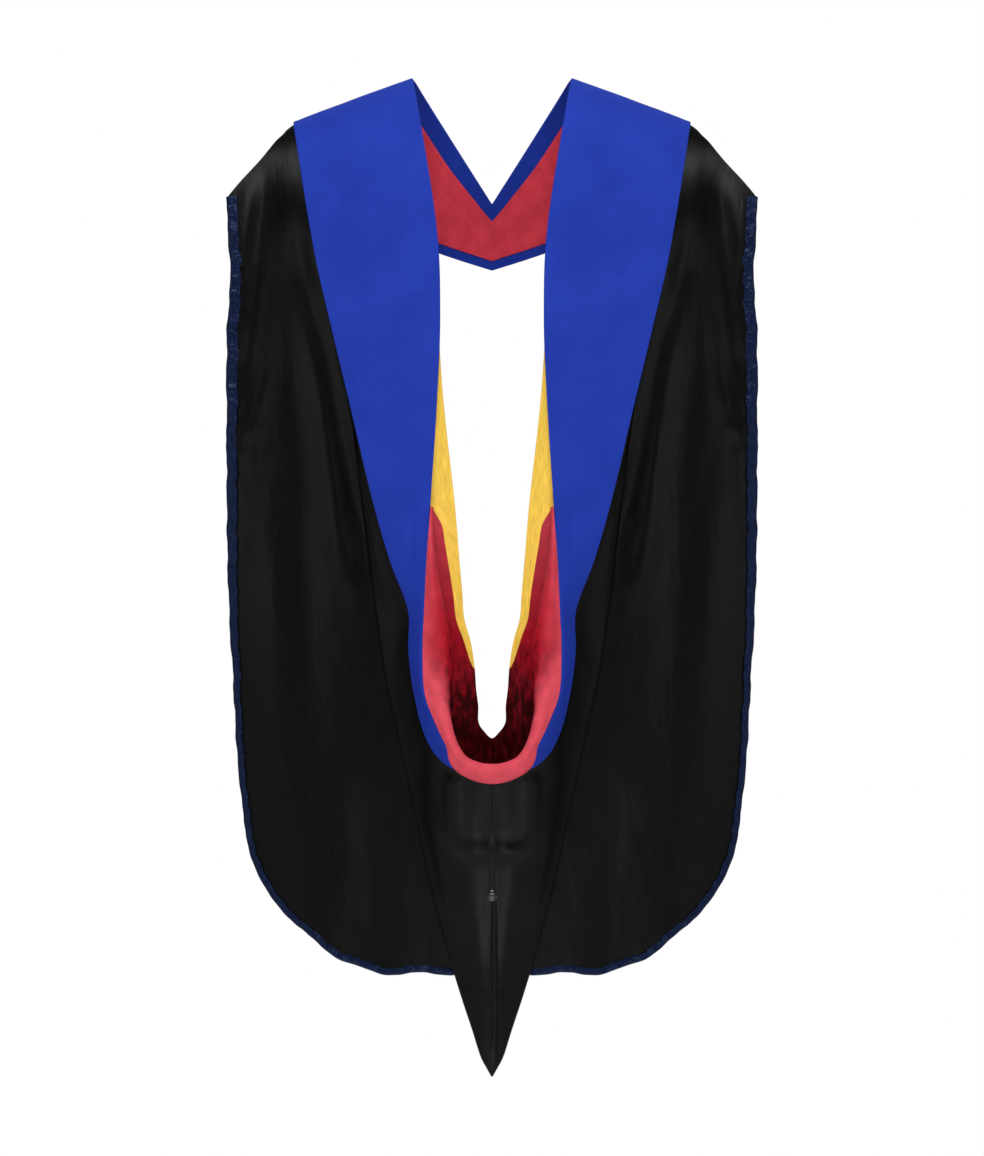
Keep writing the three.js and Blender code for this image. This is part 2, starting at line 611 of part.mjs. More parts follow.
// Binding folded round the outer and lower edges of a panel, as a channel with both legs on the cloth
function binding(side) {
  const points = panelPoints();
  const normals = gridNormals(points);
  const last = PANEL_ACROSS.length - 1;
  const edge = points.map((row, i) => ({ at: row[last], next: row[last - 1], normal: normals[i][last] }));
  const end = points.length - 1;
  for (let j = last - 1; j > 0; j--) {
    edge.push({ at: points[end][j], next: points[end - 1][j], normal: normals[end][j] });
  }
  const inner = SATIN_WALL / 2 + BINDING_CLEAR;
  const outer = inner + BINDING_WALL;
  const channel = edge.map(({ at, next, normal }, i) => {
    const before = edge[Math.max(i - 1, 0)].at;
    const after = edge[Math.min(i + 1, edge.length - 1)].at;
    const tangent = after.clone().sub(before).normalize();
    const inwards = new THREE.Vector3().crossVectors(normal, tangent).normalize();
    if (inwards.dot(next.clone().sub(at)) < 0) inwards.negate();
    const leg = mix(BINDING_WIDTH, BINDING_LOW_WIDTH, smooth(i / edge.length, 0.3, 0.6));
    const point = (along, off) => at.clone().addScaledVector(inwards, along).addScaledVector(normal, off);
    return [
      point(leg, outer),
      point(-CLEAR, outer),
      point(-CLEAR - BINDING_WALL, 0),
      point(-CLEAR, -outer),
      point(leg, -outer),
      point(leg, -inner),
      point(-CLEAR, -inner),
      point(-CLEAR, inner),
      point(leg, inner),
    ];
  });
  const geometry = tubeOf(channel);
  return side < 0 ? geometry : mirrorGeometry(geometry);
}

// Triangles that close the end of the channel, whose nine corners run round its two legs
const CHANNEL_FACE = [
  [0, 1, 7],
  [0, 7, 8],
  [1, 2, 7],
  [2, 6, 7],
  [2, 3, 6],
  [3, 5, 6],
  [3, 4, 5],
];

// Closed bar through a row of like channels, with a flat face at each end
function tubeOf(rings) {
  const count = rings[0].length;
  const position = rings.flatMap((ring) => ring.flatMap((p) => p.toArray()));
  const index = [];
  for (let i = 0; i + 1 < rings.length; i++) {
    for (let j = 0; j < count; j++) {
      const next = (j + 1) % count;
      const a = i * count + j;
      const b = i * count + next;
      index.push(a, a + count, b, b, a + count, b + count);
    }
  }
  const far = (rings.length - 1) * count;
  for (const [a, b, c] of CHANNEL_FACE) {
    index.push(a, b, c);
    index.push(far + a, far + c, far + b);
  }
  return closed(position, index);
}

// Point on the shell's front beside its centre line, and the direction out of the cloth there
function centreFront(x, z) {
  const row = shellRow(section(BOTTOM)).slice(1, 2 + SHELL_FRONT.length);
  const below = Math.max(1, row.findIndex((p) => p.z <= z));
  const [upper, lower] = [row[below - 1], row[below]];
  const y = mix(upper.y, lower.y, (upper.z - z) / (upper.z - lower.z));
  const out = new THREE.Vector3(0, lower.z - upper.z, upper.y - lower.y).normalize();
  return { point: new THREE.Vector3(x, y, z), out };
}

const CORD_LIFT = SATIN_WALL / 2 + CLEAR + CORD_DIAMETER / 2;
const buttonZ = -COWL_DROP - CORD_DROP;
const CORD_SIDES = 6;
const CORD_STEPS = 34;

// Doubled cord from under the roll, round the button's shank and back
function cordLoop() {
  const top = -COWL_DROP - CLEAR;
  const loop = SHANK_DIAMETER / 2 + 3 * CLEAR + CORD_DIAMETER / 2;
  const onShell = (x, z) => {
    const { point, out } = centreFront(x, z);
    return point.addScaledVector(out, CORD_LIFT);
  };
  const side = [0, 0.2, 0.4, 0.6, 0.8, 1].map((share) => {
    return onShell(-CORD_SPREAD / 2, mix(top, buttonZ + 3 * loop, share));
  });
  const round = [180, 225, 270].map((degrees) => {
    const angle = THREE.MathUtils.degToRad(degrees);
    return onShell(loop * Math.cos(angle), buttonZ + loop * Math.sin(angle));
  });
  const left = [...side, ...round];
  const right = left.slice(0, -1).reverse().map((p) => new THREE.Vector3(-p.x, p.y, p.z));
  const path = new THREE.CatmullRomCurve3([...left, ...right]);
  const circle = new THREE.Shape();
  for (let k = 0; k < CORD_SIDES; k++) {
    const angle = (k / CORD_SIDES) * 2 * Math.PI;
    const x = (CORD_DIAMETER / 2) * Math.cos(angle);
    const y = (CORD_DIAMETER / 2) * Math.sin(angle);
    if (k) circle.lineTo(x, y);
    else circle.moveTo(x, y);
  }
  circle.closePath();
  return new THREE.ExtrudeGeometry(circle, { steps: CORD_STEPS, bevelEnabled: false, extrudePath: path });
}

// Domed button on a shank, its foot on the shell
function cowlButton() {
  const radius = BUTTON_DIAMETER / 2;
  const shank = SHANK_DIAMETER / 2;
  const foot = SATIN_WALL / 2 + CLEAR;
  const under = CORD_LIFT + CORD_DIAMETER / 2 + CLEAR;
  const profile = [
    new THREE.Vector2(0, foot),
    new THREE.Vector2(shank, foot),
    new THREE.Vector2(shank, under),
    new THREE.Vector2(radius * 0.85, under),
    new THREE.Vector2(radius, under + BUTTON_HEIGHT * 0.33),
    new THREE.Vector2(radius * 0.8, under + BUTTON_HEIGHT * 0.7),
    new THREE.Vector2(radius * 0.4, under + BUTTON_HEIGHT * 0.94),
    new THREE.Vector2(0, under + BUTTON_HEIGHT),
  ];
  return new THREE.LatheGeometry(profile, 12);
}

const PAINTS = {
  velvet: { color: 0x2139a6, roughness: 0.85 },
  satin: { color: 0x0c0d0c, roughness: 0.45 },
  red: { color: 0xb2202f, roughness: 0.55 },
  gold: { color: 0xf0d05a, roughness: 0.45 },
  navy: { color: 0x141c3c, roughness: 0.4 },
  button: { color: 0x0a0a0a, roughness: 0.2 },
};

function piece(name, geometry, paint) {
  const mesh = new THREE.Mesh(geometry, new THREE.MeshStandardMaterial({ ...PAINTS[paint], metalness: 0 }));
  mesh.name = name;
  return mesh;
}

const hood = new THREE.Group();
for (const [word, side] of [["left", -1], ["right", 1]]) {
  hood.add(piece("velvet_facing_" + word, facing(side), "velvet"));
  hood.add(piece("side_panel_" + word, sidePanel(side), "satin"));
  hood.add(piece("binding_" + word, binding(side), "navy"));
  hood.add(piece("lining_gold_" + word, goldLining(side), "gold"));
}
hood.add(piece("neck_lining", neckLining(), "red"));
hood.add(piece("shell_body", shell(), "satin"));
hood.add(piece("lining_cowl", cowlLining(), "red"));
hood.add(piece("cord_loop", cordLoop(), "satin"));

const button = piece("cowl_button", cowlButton(), "button");
const seat = centreFront(0, buttonZ);
button.position.copy(seat.point);
button.quaternion.setFromUnitVectors(new THREE.Vector3(0, 1, 0), seat.out);
hood.add(button);

export default hood;
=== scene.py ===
"""Academic hood of velvet and satin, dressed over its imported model, seen from the wearer's back."""

import math

import bpy
import numpy as np
from bpy.props import FloatProperty, FloatVectorProperty, PointerProperty
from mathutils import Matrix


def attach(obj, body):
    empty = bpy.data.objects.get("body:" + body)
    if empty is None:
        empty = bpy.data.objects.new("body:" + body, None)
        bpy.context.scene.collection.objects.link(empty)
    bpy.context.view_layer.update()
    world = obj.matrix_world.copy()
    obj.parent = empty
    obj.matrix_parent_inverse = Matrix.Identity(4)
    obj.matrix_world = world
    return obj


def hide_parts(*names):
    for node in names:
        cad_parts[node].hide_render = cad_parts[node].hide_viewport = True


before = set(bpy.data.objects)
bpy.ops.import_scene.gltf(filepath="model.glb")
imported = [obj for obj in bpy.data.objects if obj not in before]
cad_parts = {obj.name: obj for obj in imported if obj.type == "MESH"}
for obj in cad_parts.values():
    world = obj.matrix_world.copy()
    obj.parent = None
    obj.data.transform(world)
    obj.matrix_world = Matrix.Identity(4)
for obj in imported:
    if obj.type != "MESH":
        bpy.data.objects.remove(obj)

bl_info = {
    "name": "Academic Hood",
    "version": (1, 0, 0),
    "blender": (4, 5, 0),
    "location": "3D View > Sidebar > Hood",
    "description": "Builds the cloth, cord, button and stage of an academic hood",
    "category": "Add Mesh",
}

MM = 0.001

# ---------------------------------------------------------------- form of the hood, in millimetres

NECK_WIDTH, FACING_WIDTH, SHOULDER_SLOPE = 165, 134, 20
SHOULDER_ROUND, CHEST_ROUND, BACK_DEPTH, CHEST_DEPTH, SIDE_WRAP = 150, 200, 90, 98, 0.45
FRONT_DROP, FRONT_BAND, LINING_TOP_MARGIN, LINING_LOW_MARGIN = 132, 70, 18, 10
COWL_DROP, COWL_DEPTH, MOUTH_RISE, ROLL_RISE, ROLL_PUFF = 742, 82, 46, 16, 5
BODY_SIDE, TAIL_LENGTH, POCKET_SHARE, BAG_EDGE, FOLD_ROUND = 37, 312, 0.34, 8, 3
CENTRE_DIP, DIP_WIDTH = 7, 16
PANEL_WIDTH, PANEL_DROP, CORNER_DROP, LOWER_INSET, INSET_POWER = 555, 942, 127, 23, 5
ROUND_WIDTH, ROUND_HEIGHT, ROUND_POWER, FOLD_DEPTH, FOLD_CLEARANCE = 138, 134, 1.5, 9, 30
VELVET_WALL, SATIN_WALL, LINING_WALL, BINDING_WALL = 2.4, 1.5, 1.2, 1.2
BINDING_WIDTH, BINDING_LOW_WIDTH, BINDING_CLEAR = 10, 6, 0.6
CLEAR, YOKE_CLEAR, FACING_LAP, NOSE = 0.4, 0.6, 8, 2.4
CORD_DIAMETER, CORD_SPREAD, CORD_DROP = 2.6, 4.4, 118
BUTTON_DIAMETER, SHANK_DIAMETER = 12, 2.6

# The back, from the shoulder fold to the middle of the cowl, in the shares that the part's source uses
SECTION_NAMES = ("fall", "rim", "facing", "sink", "side", "tail", "stand", "seat", "turn", "lift",
                 "mouth", "rise", "gold")
SECTIONS = np.array([
    [0, 1, 0.94, 1, -0.3, 0, 0, 0, 1, 0, 1, 0, 0.5],
    [0.202, 0.707, 0.96, 0.6, -0.1, 0, 0.03, 0.02, 1, 0, 1.06, 0, 0.5],
    [0.33, 0.652, 0.868, 0.18, 0.03, 0, 0.15, 0.13, 1, 0, 1.06, 0, 0.5],
    [0.457, 0.693, 0.69, 0, 0.06, 0, 0.22, 0.16, 1, 0, 0.89, 0, 0.5],
    [0.598, 0.77, 0.454, 0, 0.37, 0, 0.36, 0.2, 0.99, 0, 0.62, 0, 0.74],
    [0.683, 0.821, 0.282, 0, 0.667, 0.01, 0.48, 0.24, 0.87, 0, 0.504, 0, 0.88],
    [0.754, 0.851, 0.113, 0, 1, 0.025, 0.62, 0.28, 0.7, 0, 0.422, 0.15, 0.918],
    [0.811, 0.872, 0.094, 0, 0.77, 0.085, 0.74, 0.32, 0.584, 0, 0.314, 0.27, 0.936],
    [0.87, 0.85, 0.069, 0, 0.51, 0.156, 0.84, 0.38, 0.596, 0.06, 0.26, 0.57, 0.985],
    [0.909, 0.728, 0.082, 0.09, 0.31, 0.275, 0.91, 0.47, 0.715, 0.46, 0.275, 0.68, 1],
    [0.945, 0.579, 0.086, 0.14, 0.17, 0.438, 0.96, 0.6, 0.8, 0.5, 0.3, 0.87, 1],
    [0.976, 0.439, 0.039, 0.02, 0.14, 0.618, 0.99, 0.73, 0.77, 0.6, 0.386, 1, 1],
    [0.993, 0.235, 0.01, -0.05, 0.055, 0.832, 1, 0.8, 0.72, 0.82, 0.33, 1.01, 1],
    [1, 0, 0, -0.07, 0, 1, 1, 0.82, 0, 1, 0, 1, 1],
])
SHELL_TOP = 2
TIP_PART = 0.5
BOTTOM = len(SECTIONS) - 1

# Lower edge of the front band: half width and fall, as shares
BAND_OUT, BAND_FALL = (1, 0.915, 0.675, 0.265, 0), (0.225, 0.56, 0.75, 0.912, 1)
# Inner edge of a panel: fall and half width, as shares
INNER_FALL = (0, 0.17, 0.3, 0.48, 0.62, 0.72, 0.82, 1)
INNER_HALF = (1.06, 0.8, 0.76, 0.87, 0.95, 0.66, 0.3, 0.15)
RIDGE_PART, STRAIGHT_PART = 0.6, 0.45
# Soft folds of a panel: top, low, from, to, width, rise, as shares
PANEL_FOLDS = (
    (0.72, 0.52, 0.2, 0.62, 0.07, 0.9),
    (0.82, 0.93, 0.04, 0.42, 0.06, -0.9),
    (0.7, 0.76, 0.3, 1.1, 0.09, -0.5),
    (0.84, 0.66, 0.4, 1.2, 0.08, 0.6),
    (0.5, 0.36, 0.75, 1.3, 0.07, -0.6),
)

NECK_HALF, PANEL_HALF = NECK_WIDTH / 2, PANEL_WIDTH / 2
SLOPE = math.tan(math.radians(SHOULDER_SLOPE))
SHOULDER_FALL = FACING_WIDTH * math.sin(math.radians(SHOULDER_SLOPE))
SHOULDER_OUT = FACING_WIDTH * math.cos(math.radians(SHOULDER_SLOPE))
VELVET_LOW = SATIN_WALL / 2 + YOKE_CLEAR
VELVET_HIGH = VELVET_LOW + VELVET_WALL
LINING_HIGH = -SATIN_WALL / 2 - CLEAR
LINING_LOW = LINING_HIGH - LINING_WALL
BACK_LIFT = SATIN_WALL + 4 * CLEAR
TAIL_LIFT = 2 * (BINDING_WALL + BINDING_CLEAR)


# ---------------------------------------------------------------- curves and surfaces

def mix(a, b, share):
    return a + (b - a) * share


def smooth(value, low, high):
    share = np.clip((value - low) / (high - low), 0, 1)
    return share * share * (3 - 2 * share)


def bump(value, middle, width):
    return np.exp(-(((value - middle) / width) ** 2))


def along(knots, values, at):
    """Smooth curve through values at rising knots, without curvature at its ends."""
    knots, values = np.asarray(knots, float), np.asarray(values, float)
    at = np.clip(at, knots[0], knots[-1])
    i = np.clip(np.searchsorted(knots, at, side="right"), 1, len(knots) - 1)
    before = np.where(i == 1, i, i - 2)
    after = np.where(i == len(knots) - 1, i - 1, i + 1)
    half = (knots[i] - knots[i - 1]) / 2
    p = (at - knots[i - 1]) / (2 * half)
    wb = half / (knots[i - 1] - knots[before])
    wa = half / (knots[after] - knots[i])
    q, r = p * p, p * p * p
    return ((-wb * r + 2 * wb * q - wb * p) * values[before]
            + ((1 + wb) * r + (-1.5 - 2 * wb) * q + (-0.5 + wb) * p + 1) * values[i - 1]
            + ((-1 - wa) * r + (1.5 + wa) * q + 0.5 * p) * values[i]
            + (wa * r - wa * q) * values[after])


def ripple(a, b, seed):
    """Uneven soft swell between about -1 and 1 over two lengths, the same on every run."""
    total = 0
    for k in range(4):
        turn = seed * 1.7 + k * 2.4
        step = 1 + 0.63 * k
        total = total + np.sin(step * (a * math.cos(turn) + b * math.sin(turn)) + seed * 3.1 + k) / step
    return total / 1.9


def ridge(x):
    return -VELVET_HIGH - np.maximum(0, np.abs(x) - NECK_HALF) * SLOPE


def over_body(x, z, stand, side):
    """Point on the form that the hood hangs over: side is 1 on the chest and -1 on the back."""
    wrap = np.minimum(1.1, np.abs(x) / PANEL_HALF)
    depth = (CHEST_DEPTH if side > 0 else BACK_DEPTH) * (1 - SIDE_WRAP * wrap**2) + stand
    turn = CHEST_ROUND if side > 0 else SHOULDER_ROUND
    fall = np.maximum(0, ridge(x) - z)
    angle = np.arccos(1 - np.minimum(1, fall / turn))
    y = side * depth * np.sin(angle)
    rounded = ridge(x) - turn + (turn + stand) * np.cos(angle)
    z = np.where(fall >= turn, z, rounded)
    return np.stack(np.broadcast_arrays(x, y, z), -1)


def section_lengths():
    row = dict(zip(SECTION_NAMES, SECTIONS.T))
    rim_x, rim_z = -row["rim"] * NECK_HALF, -mix(VELVET_HIGH, COWL_DROP, row["fall"])
    seam_x, seam_z = rim_x - row["facing"] * FACING_WIDTH, rim_z - row["sink"] * SHOULDER_FALL
    return {
        "rim_x": rim_x, "rim_z": rim_z, "seam_x": seam_x, "seam_z": seam_z,
        "fold_x": seam_x - row["side"] * BODY_SIDE, "fold_z": seam_z - row["tail"] * TAIL_LENGTH,
        "turn_x": rim_x * row["turn"], "turn_z": rim_z + row["lift"] * ROLL_RISE,
        "mouth_x": rim_x * row["mouth"], "mouth_z": rim_z + row["rise"] * MOUTH_RISE,
        "stand": row["stand"] * COWL_DEPTH, "seat": row["seat"] * COWL_DEPTH, "gold": row["gold"],
    }


LEFT = section_lengths()
ROUND_TRIP = {
    name: np.concatenate([line, (-1 if name.endswith("_x") else 1) * line[-2::-1]])
    for name, line in LEFT.items()
}


def corner(s, name):
    return np.stack([s[name + "_x"], s[name + "_z"]], -1)


def unit(vectors):
    return vectors / np.maximum(1e-9, np.linalg.norm(vectors, axis=-1, keepdims=True))


def section(at):
    """Lengths of the sections at places between the table's rows."""
    at = np.asarray(at, float)
    s = {name: along(range(2 * BOTTOM + 1), line, at) for name, line in ROUND_TRIP.items()}
    rim, turn = corner(s, "rim"), corner(s, "turn")
    short = np.linalg.norm(turn - rim, axis=-1, keepdims=True) < NOSE
    turn = np.where(short, rim + NOSE * unit(corner(s, "mouth") - rim), turn)
    beside = np.clip((BOTTOM - at) / TIP_PART, -1, 1)
    x, z = (along(range(2 * BOTTOM + 1), ROUND_TRIP[name], BOTTOM - TIP_PART) for name in ("fold_x", "fold_z"))
    tip = np.abs(beside) < 1
    fold_x = np.where(tip, x * beside, s["fold_x"])
    fold_z = np.where(tip, mix(LEFT["fold_z"][-1], z, np.abs(beside)), s["fold_z"])
    return {**s, "turn_x": turn[:, 0], "turn_z": turn[:, 1], "fold_x": fold_x, "fold_z": fold_z}


def back_lift(z):
    return BACK_LIFT + TAIL_LIFT * smooth(-z, COWL_DROP * 0.8, COWL_DROP * 1.15)


def dip(x, z):
    below = (-z - COWL_DROP) / CORD_DROP
    return CENTRE_DIP * smooth(below, 0, 0.5) * (1 - smooth(below, 1, 2)) * bump(x, 0, DIP_WIDTH)


def front_point(s, part):
    """Front of the bag: part 0 is the turn of the roll, 1 the rim, 2 the velvet's seam, 3 the side fold."""
    turn, rim, seam, fold = (corner(s, name) for name in ("turn", "rim", "seam", "fold"))
    fold = fold + FOLD_ROUND * unit(seam - fold)
    starts, ends = np.stack([turn, rim, seam], 1), np.stack([rim, seam, fold], 1)
    far = BAG_EDGE + back_lift(s["fold_z"]) - BACK_LIFT
    stands = np.stack([s["stand"], s["stand"], s["seat"], far], 1)
    row = np.arange(len(rim))[:, None]
    part = np.broadcast_to(part, (len(rim), np.shape(part)[-1]))
    step = np.clip(part.astype(int), 0, 2)
    share = part - step
    place = mix(starts[row, step], ends[row, step], share[..., None])
    eased = np.where(step == 2, 1 - np.maximum(0, 1 - share) ** 1.35, share)
    stand = mix(stands[row, step], stands[row, step + 1], eased)
    x, z = place[..., 0], place[..., 1]
    return over_body(x, z, stand - np.where(step == 2, dip(x, z), 0), -1)


# How much wider the opening is where its edge is turned over above the pocket
EDGE_KINK = 0.09


def back_point(s, share):
    """Back of the bag: share 0 is the side fold and 1 the edge of the mouth."""
    fold, mouth = corner(s, "fold"), corner(s, "mouth")
    fold = fold + FOLD_ROUND * unit(mouth - fold)
    share = np.broadcast_to(share, (len(fold), np.shape(share)[-1]))
    place = mix(fold[:, None], mouth[:, None], share[..., None])
    x, z = place[..., 0], place[..., 1]
    x = x * (1 + EDGE_KINK * bump(z, -572, 17) * smooth(share, 0.7, 1))
    return over_body(x, z, back_lift(z), -1)


def fold_point(s):
    stand = back_lift(s["fold_z"]) + (BAG_EDGE - BACK_LIFT) / 2
    return over_body(s["fold_x"], s["fold_z"], stand, -1)[:, None]


def lap_share(s):
    wide = np.linalg.norm(front_point(s, [1.0]) - front_point(s, [2.0]), axis=-1)
    return np.minimum(0.5, FACING_LAP / wide)


def grid_normals(points):
    """Unit normals of a grid of points, across times down."""
    down = np.concatenate([points[1:2] - points[:1], points[2:] - points[:-2], points[-1:] - points[-2:-1]])
    right = np.concatenate([points[:, 1:2] - points[:, :1], points[:, 2:] - points[:, :-2],
                            points[:, -1:] - points[:, -2:-1]], axis=1)
    return unit(np.cross(right, down))


def soften(points, across=0, down=0):
    """Rounds the bends of a grid, its edges kept."""
    points = points.copy()
    for _ in range(across):
        points[:, 1:-1] = points[:, 1:-1] / 2 + (points[:, :-2] + points[:, 2:]) / 4
    for _ in range(down):
        points[1:-1] = points[1:-1] / 2 + (points[:-2] + points[2:]) / 4
    return points


def mirrored(points):
    return points[:, ::-1] * np.array([-1, 1, 1])


def lift(points, height):
    return points + grid_normals(points) * height[..., None]


def swollen(points, swell, depth):
    return lift(points, swell(points, depth))


# Places down the left side, close together where the shoulder is round
SHOULDER_PLACES = 1 - np.cos(np.linspace(0, math.pi / 2, 26)[:-1])


def places(start, per_section, both=False):
    left = np.arange(start, BOTTOM, 1 / per_section)
    if not both:
        return np.append(left, BOTTOM)
    return np.concatenate([left, [BOTTOM], 2 * BOTTOM - left[::-1]])


# ---------------------------------------------------------------- meshes

def deselect_all():
    if bpy.context.object and bpy.context.object.mode != "OBJECT":
        bpy.ops.object.mode_set(mode="OBJECT")
    bpy.ops.object.select_all(action="DESELECT")


def applied(obj, kind, **settings):
    """Adds a modifier and applies it at once."""
    bpy.context.view_layer.objects.active = obj
    modifier = obj.modifiers.new(kind.lower(), kind)
    for name, value in settings.items():
        setattr(modifier, name, value)
    bpy.ops.object.modifier_apply(modifier=modifier.name)


def cloth_grid(name, points):
    """Grid primitive laid on a grid of points in millimetres, its UV map in metres of cloth."""
    rows, columns = points.shape[:2]
    deselect_all()
    bpy.ops.mesh.primitive_grid_add(x_subdivisions=columns - 1, y_subdivisions=rows - 1, size=1)
    obj = bpy.context.object
    obj.name = obj.data.name = name
    mesh = obj.data
    if len(mesh.vertices) != rows * columns:
        raise RuntimeError(f"{name}: the grid has {len(mesh.vertices)} points and not {rows * columns}")
    mesh.vertices.foreach_set("co", (points * MM).reshape(-1))
    right = np.cumsum(np.linalg.norm(np.diff(points, axis=1, prepend=points[:, :1]), axis=-1), axis=1)
    down = np.cumsum(np.linalg.norm(np.diff(points, axis=0, prepend=points[:1]), axis=-1), axis=0)
    flat = np.stack([right, down.mean(axis=1, keepdims=True) + 0 * right], -1).reshape(-1, 2) * MM
    corners = np.empty(len(mesh.loops), dtype=int)
    mesh.loops.foreach_get("vertex_index", corners)
    mesh.uv_layers.active.data.foreach_set("uv", flat[corners].reshape(-1))
    order = np.arange(rows * columns)
    shares = np.stack([order % columns / (columns - 1), order // columns / (rows - 1)], -1)
    mesh.uv_layers.new(name="share", do_init=False).data.foreach_set("uv", shares[corners].reshape(-1))
    mesh.update()
    return obj


def finished(obj, node, finish):
    bpy.ops.object.shade_smooth_by_angle(angle=math.radians(50))
    obj.data.materials.clear()
    obj.data.materials.append(finish)
    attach(obj, "root")
    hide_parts(node)
    return obj


def cut_at_centre(obj, side):
    """Cuts off what reaches over the centre line and closes the cut. side is -1 for a left sheet."""
    bpy.context.view_layer.objects.active = obj
    bpy.ops.object.mode_set(mode="EDIT")
    bpy.ops.mesh.select_all(action="SELECT")
    bpy.ops.mesh.bisect(plane_co=(side * CLEAR / 8 * MM, 0, 0), plane_no=(-side, 0, 0), use_fill=True,
                        clear_outer=True)
    bpy.ops.object.mode_set(mode="OBJECT")


def sewn_cloth(name, points, wall, node, finish, rounding=0, cut_side=0):
    """Sheet of cloth of one thickness, rounded at its edges."""
    obj = cloth_grid(name, points)
    applied(obj, "SOLIDIFY", thickness=wall * MM, offset=0.0, use_rim=True, use_even_offset=False)
    if rounding:
        applied(obj, "SUBSURF", levels=rounding, render_levels=rounding)
    if cut_side:
        cut_at_centre(obj, cut_side)
    finished(obj, node, finish)
    return obj


# ---------------------------------------------------------------- cloth surfaces

def band_points(step, share):
    """Front band from the shoulder fold (step 0) to the centre of the V (step 1)."""
    last = math.acos(max(0, 1 - FRONT_DROP / CHEST_ROUND))
    fall = (1 - np.cos(last * np.asarray(step))) * CHEST_ROUND / FRONT_DROP
    knots = range(len(BAND_OUT))
    out, low = (along(knots, line, fall * (len(BAND_OUT) - 1)) for line in (BAND_OUT, BAND_FALL))
    outer_x = -(NECK_HALF + SHOULDER_OUT) * out
    hanging = np.minimum(1, fall * (len(BAND_OUT) - 1))
    outer_z = mix(ridge(outer_x), -low * (FRONT_DROP + FRONT_BAND), hanging)
    inner = np.stack([-NECK_HALF * (1 - fall), -mix(VELVET_HIGH, FRONT_DROP, fall)], -1)
    place = mix(inner[:, None], np.stack([outer_x, outer_z], -1)[:, None],
                np.broadcast_to(share, (len(fall), np.shape(share)[-1]))[..., None])
    return over_body(place[..., 0], place[..., 1], 0, 1)


def band_margins(step):
    """Shares of the band's width where its lining begins and ends."""
    ends = band_points(step, [0.0, 1.0])
    wide = np.hypot(ends[:, 1, 0] - ends[:, 0, 0], ends[:, 1, 2] - ends[:, 0, 2])[:, None]
    return LINING_TOP_MARGIN / wide, 1 - LINING_LOW_MARGIN / wide


def velvet_surface():
    """Middle of the left velvet, from the centre of the V over the shoulder to the middle of the cowl."""
    at = np.concatenate([SHOULDER_PLACES, places(1, 13)])
    s = section(at)
    roll = np.linalg.norm(corner(s, "turn") - corner(s, "rim"), axis=-1)
    nose = (NOSE / np.maximum(NOSE, roll))[:, None]
    share = np.append(np.linspace(0, 1, 25)[:-1], [0.99, 1])[None]
    inside = mix(nose, 1.04, np.array([[0, 0.5]]))
    parts = np.concatenate([inside, np.repeat(mix(1.04, 2, share), len(nose), axis=0)], axis=1)
    back = front_point(s, parts)
    steps = np.concatenate([[1, 0.9985, 0.995, 0.987], np.linspace(1, 0, 36)[1:-1]])
    front = band_points(steps, np.concatenate([[0, 0.02], mix(0.04, 1, share[0])]))
    across = np.array([-1, 1, 1])
    points = np.concatenate([front[2:0:-1] * across, front, back, back[-2:-4:-1] * across])
    middle = lift(points, np.full(points.shape[:2], (VELVET_LOW + VELVET_HIGH) / 2))
    return raised_bottom(soften(middle, down=1))


def raised_bottom(points):
    """Bottom of the U drawn up a little by the cord, as far as velvet and roll hang there."""
    points = points.copy()
    points[..., 2] += CORD_DRAW * bump(points[..., 0], 0, 48) * smooth(-points[..., 2], 680, 730)
    return points


def velvet_swell(points, depth):
    """Soft unevenness of hanging velvet, and the crease where it starts to turn into the cowl."""
    x, z = points[..., 0], points[..., 2]
    swell = 0.5 * ripple(x / 34, z / 60, 2) + 0.28 * ripple(x / 15, z / 24, 5)
    crease = -1.3 * bump(x, -84 + (z + 480) * 0.04, 3.2) * bump(z, -482, 34)
    gather = 0.5 * np.sin(z / 7 + x / 9) * smooth(-z, 560, 700) * bump(x, -66, 30)
    return (swell + crease + gather) * depth / MM


# Columns of the shell: under the velvet, on the front up to the side fold, and on the back
LAP_COLUMNS, FRONT_COLUMNS, BACK_COLUMNS = 2, 60, 44
# How far the middle of the cowl is drawn up by the cord, and how the shell's rows close up towards its tip
CORD_DRAW = 5
TIP_ROWS = (0.4, 0.32, 0.26, 0.21, 0.17, 0.135, 0.105, 0.08, 0.06, 0.04, 0.02)


def shell_surface():
    left = np.concatenate([np.arange(SHELL_TOP, BOTTOM - TIP_ROWS[0], 1 / 11), BOTTOM - np.array(TIP_ROWS)])
    s = section(np.concatenate([left, [BOTTOM], 2 * BOTTOM - left[::-1]]))
    lap = 2 - lap_share(s)
    under = mix(lap, 2, np.linspace(0, 1, LAP_COLUMNS + 1)[None, :-1])
    shown = np.broadcast_to(np.linspace(2, 3, FRONT_COLUMNS), (len(lap), FRONT_COLUMNS))
    front = front_point(s, np.concatenate([under, shown], axis=1))
    points = np.concatenate([front, fold_point(s), back_point(s, np.linspace(0, 1, BACK_COLUMNS))], axis=1)
    return soften(points, across=1, down=1)


def path_distance(x, z, path):
    """Distance of points from a line of straight pieces."""
    nearest = np.full(x.shape, 1e9)
    for (x0, z0), (x1, z1) in zip(path, path[1:]):
        dx, dz = x1 - x0, z1 - z0
        share = np.clip(((x - x0) * dx + (z - z0) * dz) / (dx * dx + dz * dz), 0, 1)
        nearest = np.minimum(nearest, np.hypot(x - x0 - share * dx, z - z0 - share * dz))
    return nearest


# Soft fold beside the cord, from under the roll inwards to the button
CORD_FOLD = ((40, -742), (39, -790), (34, -806), (22, -814), (8, -812))


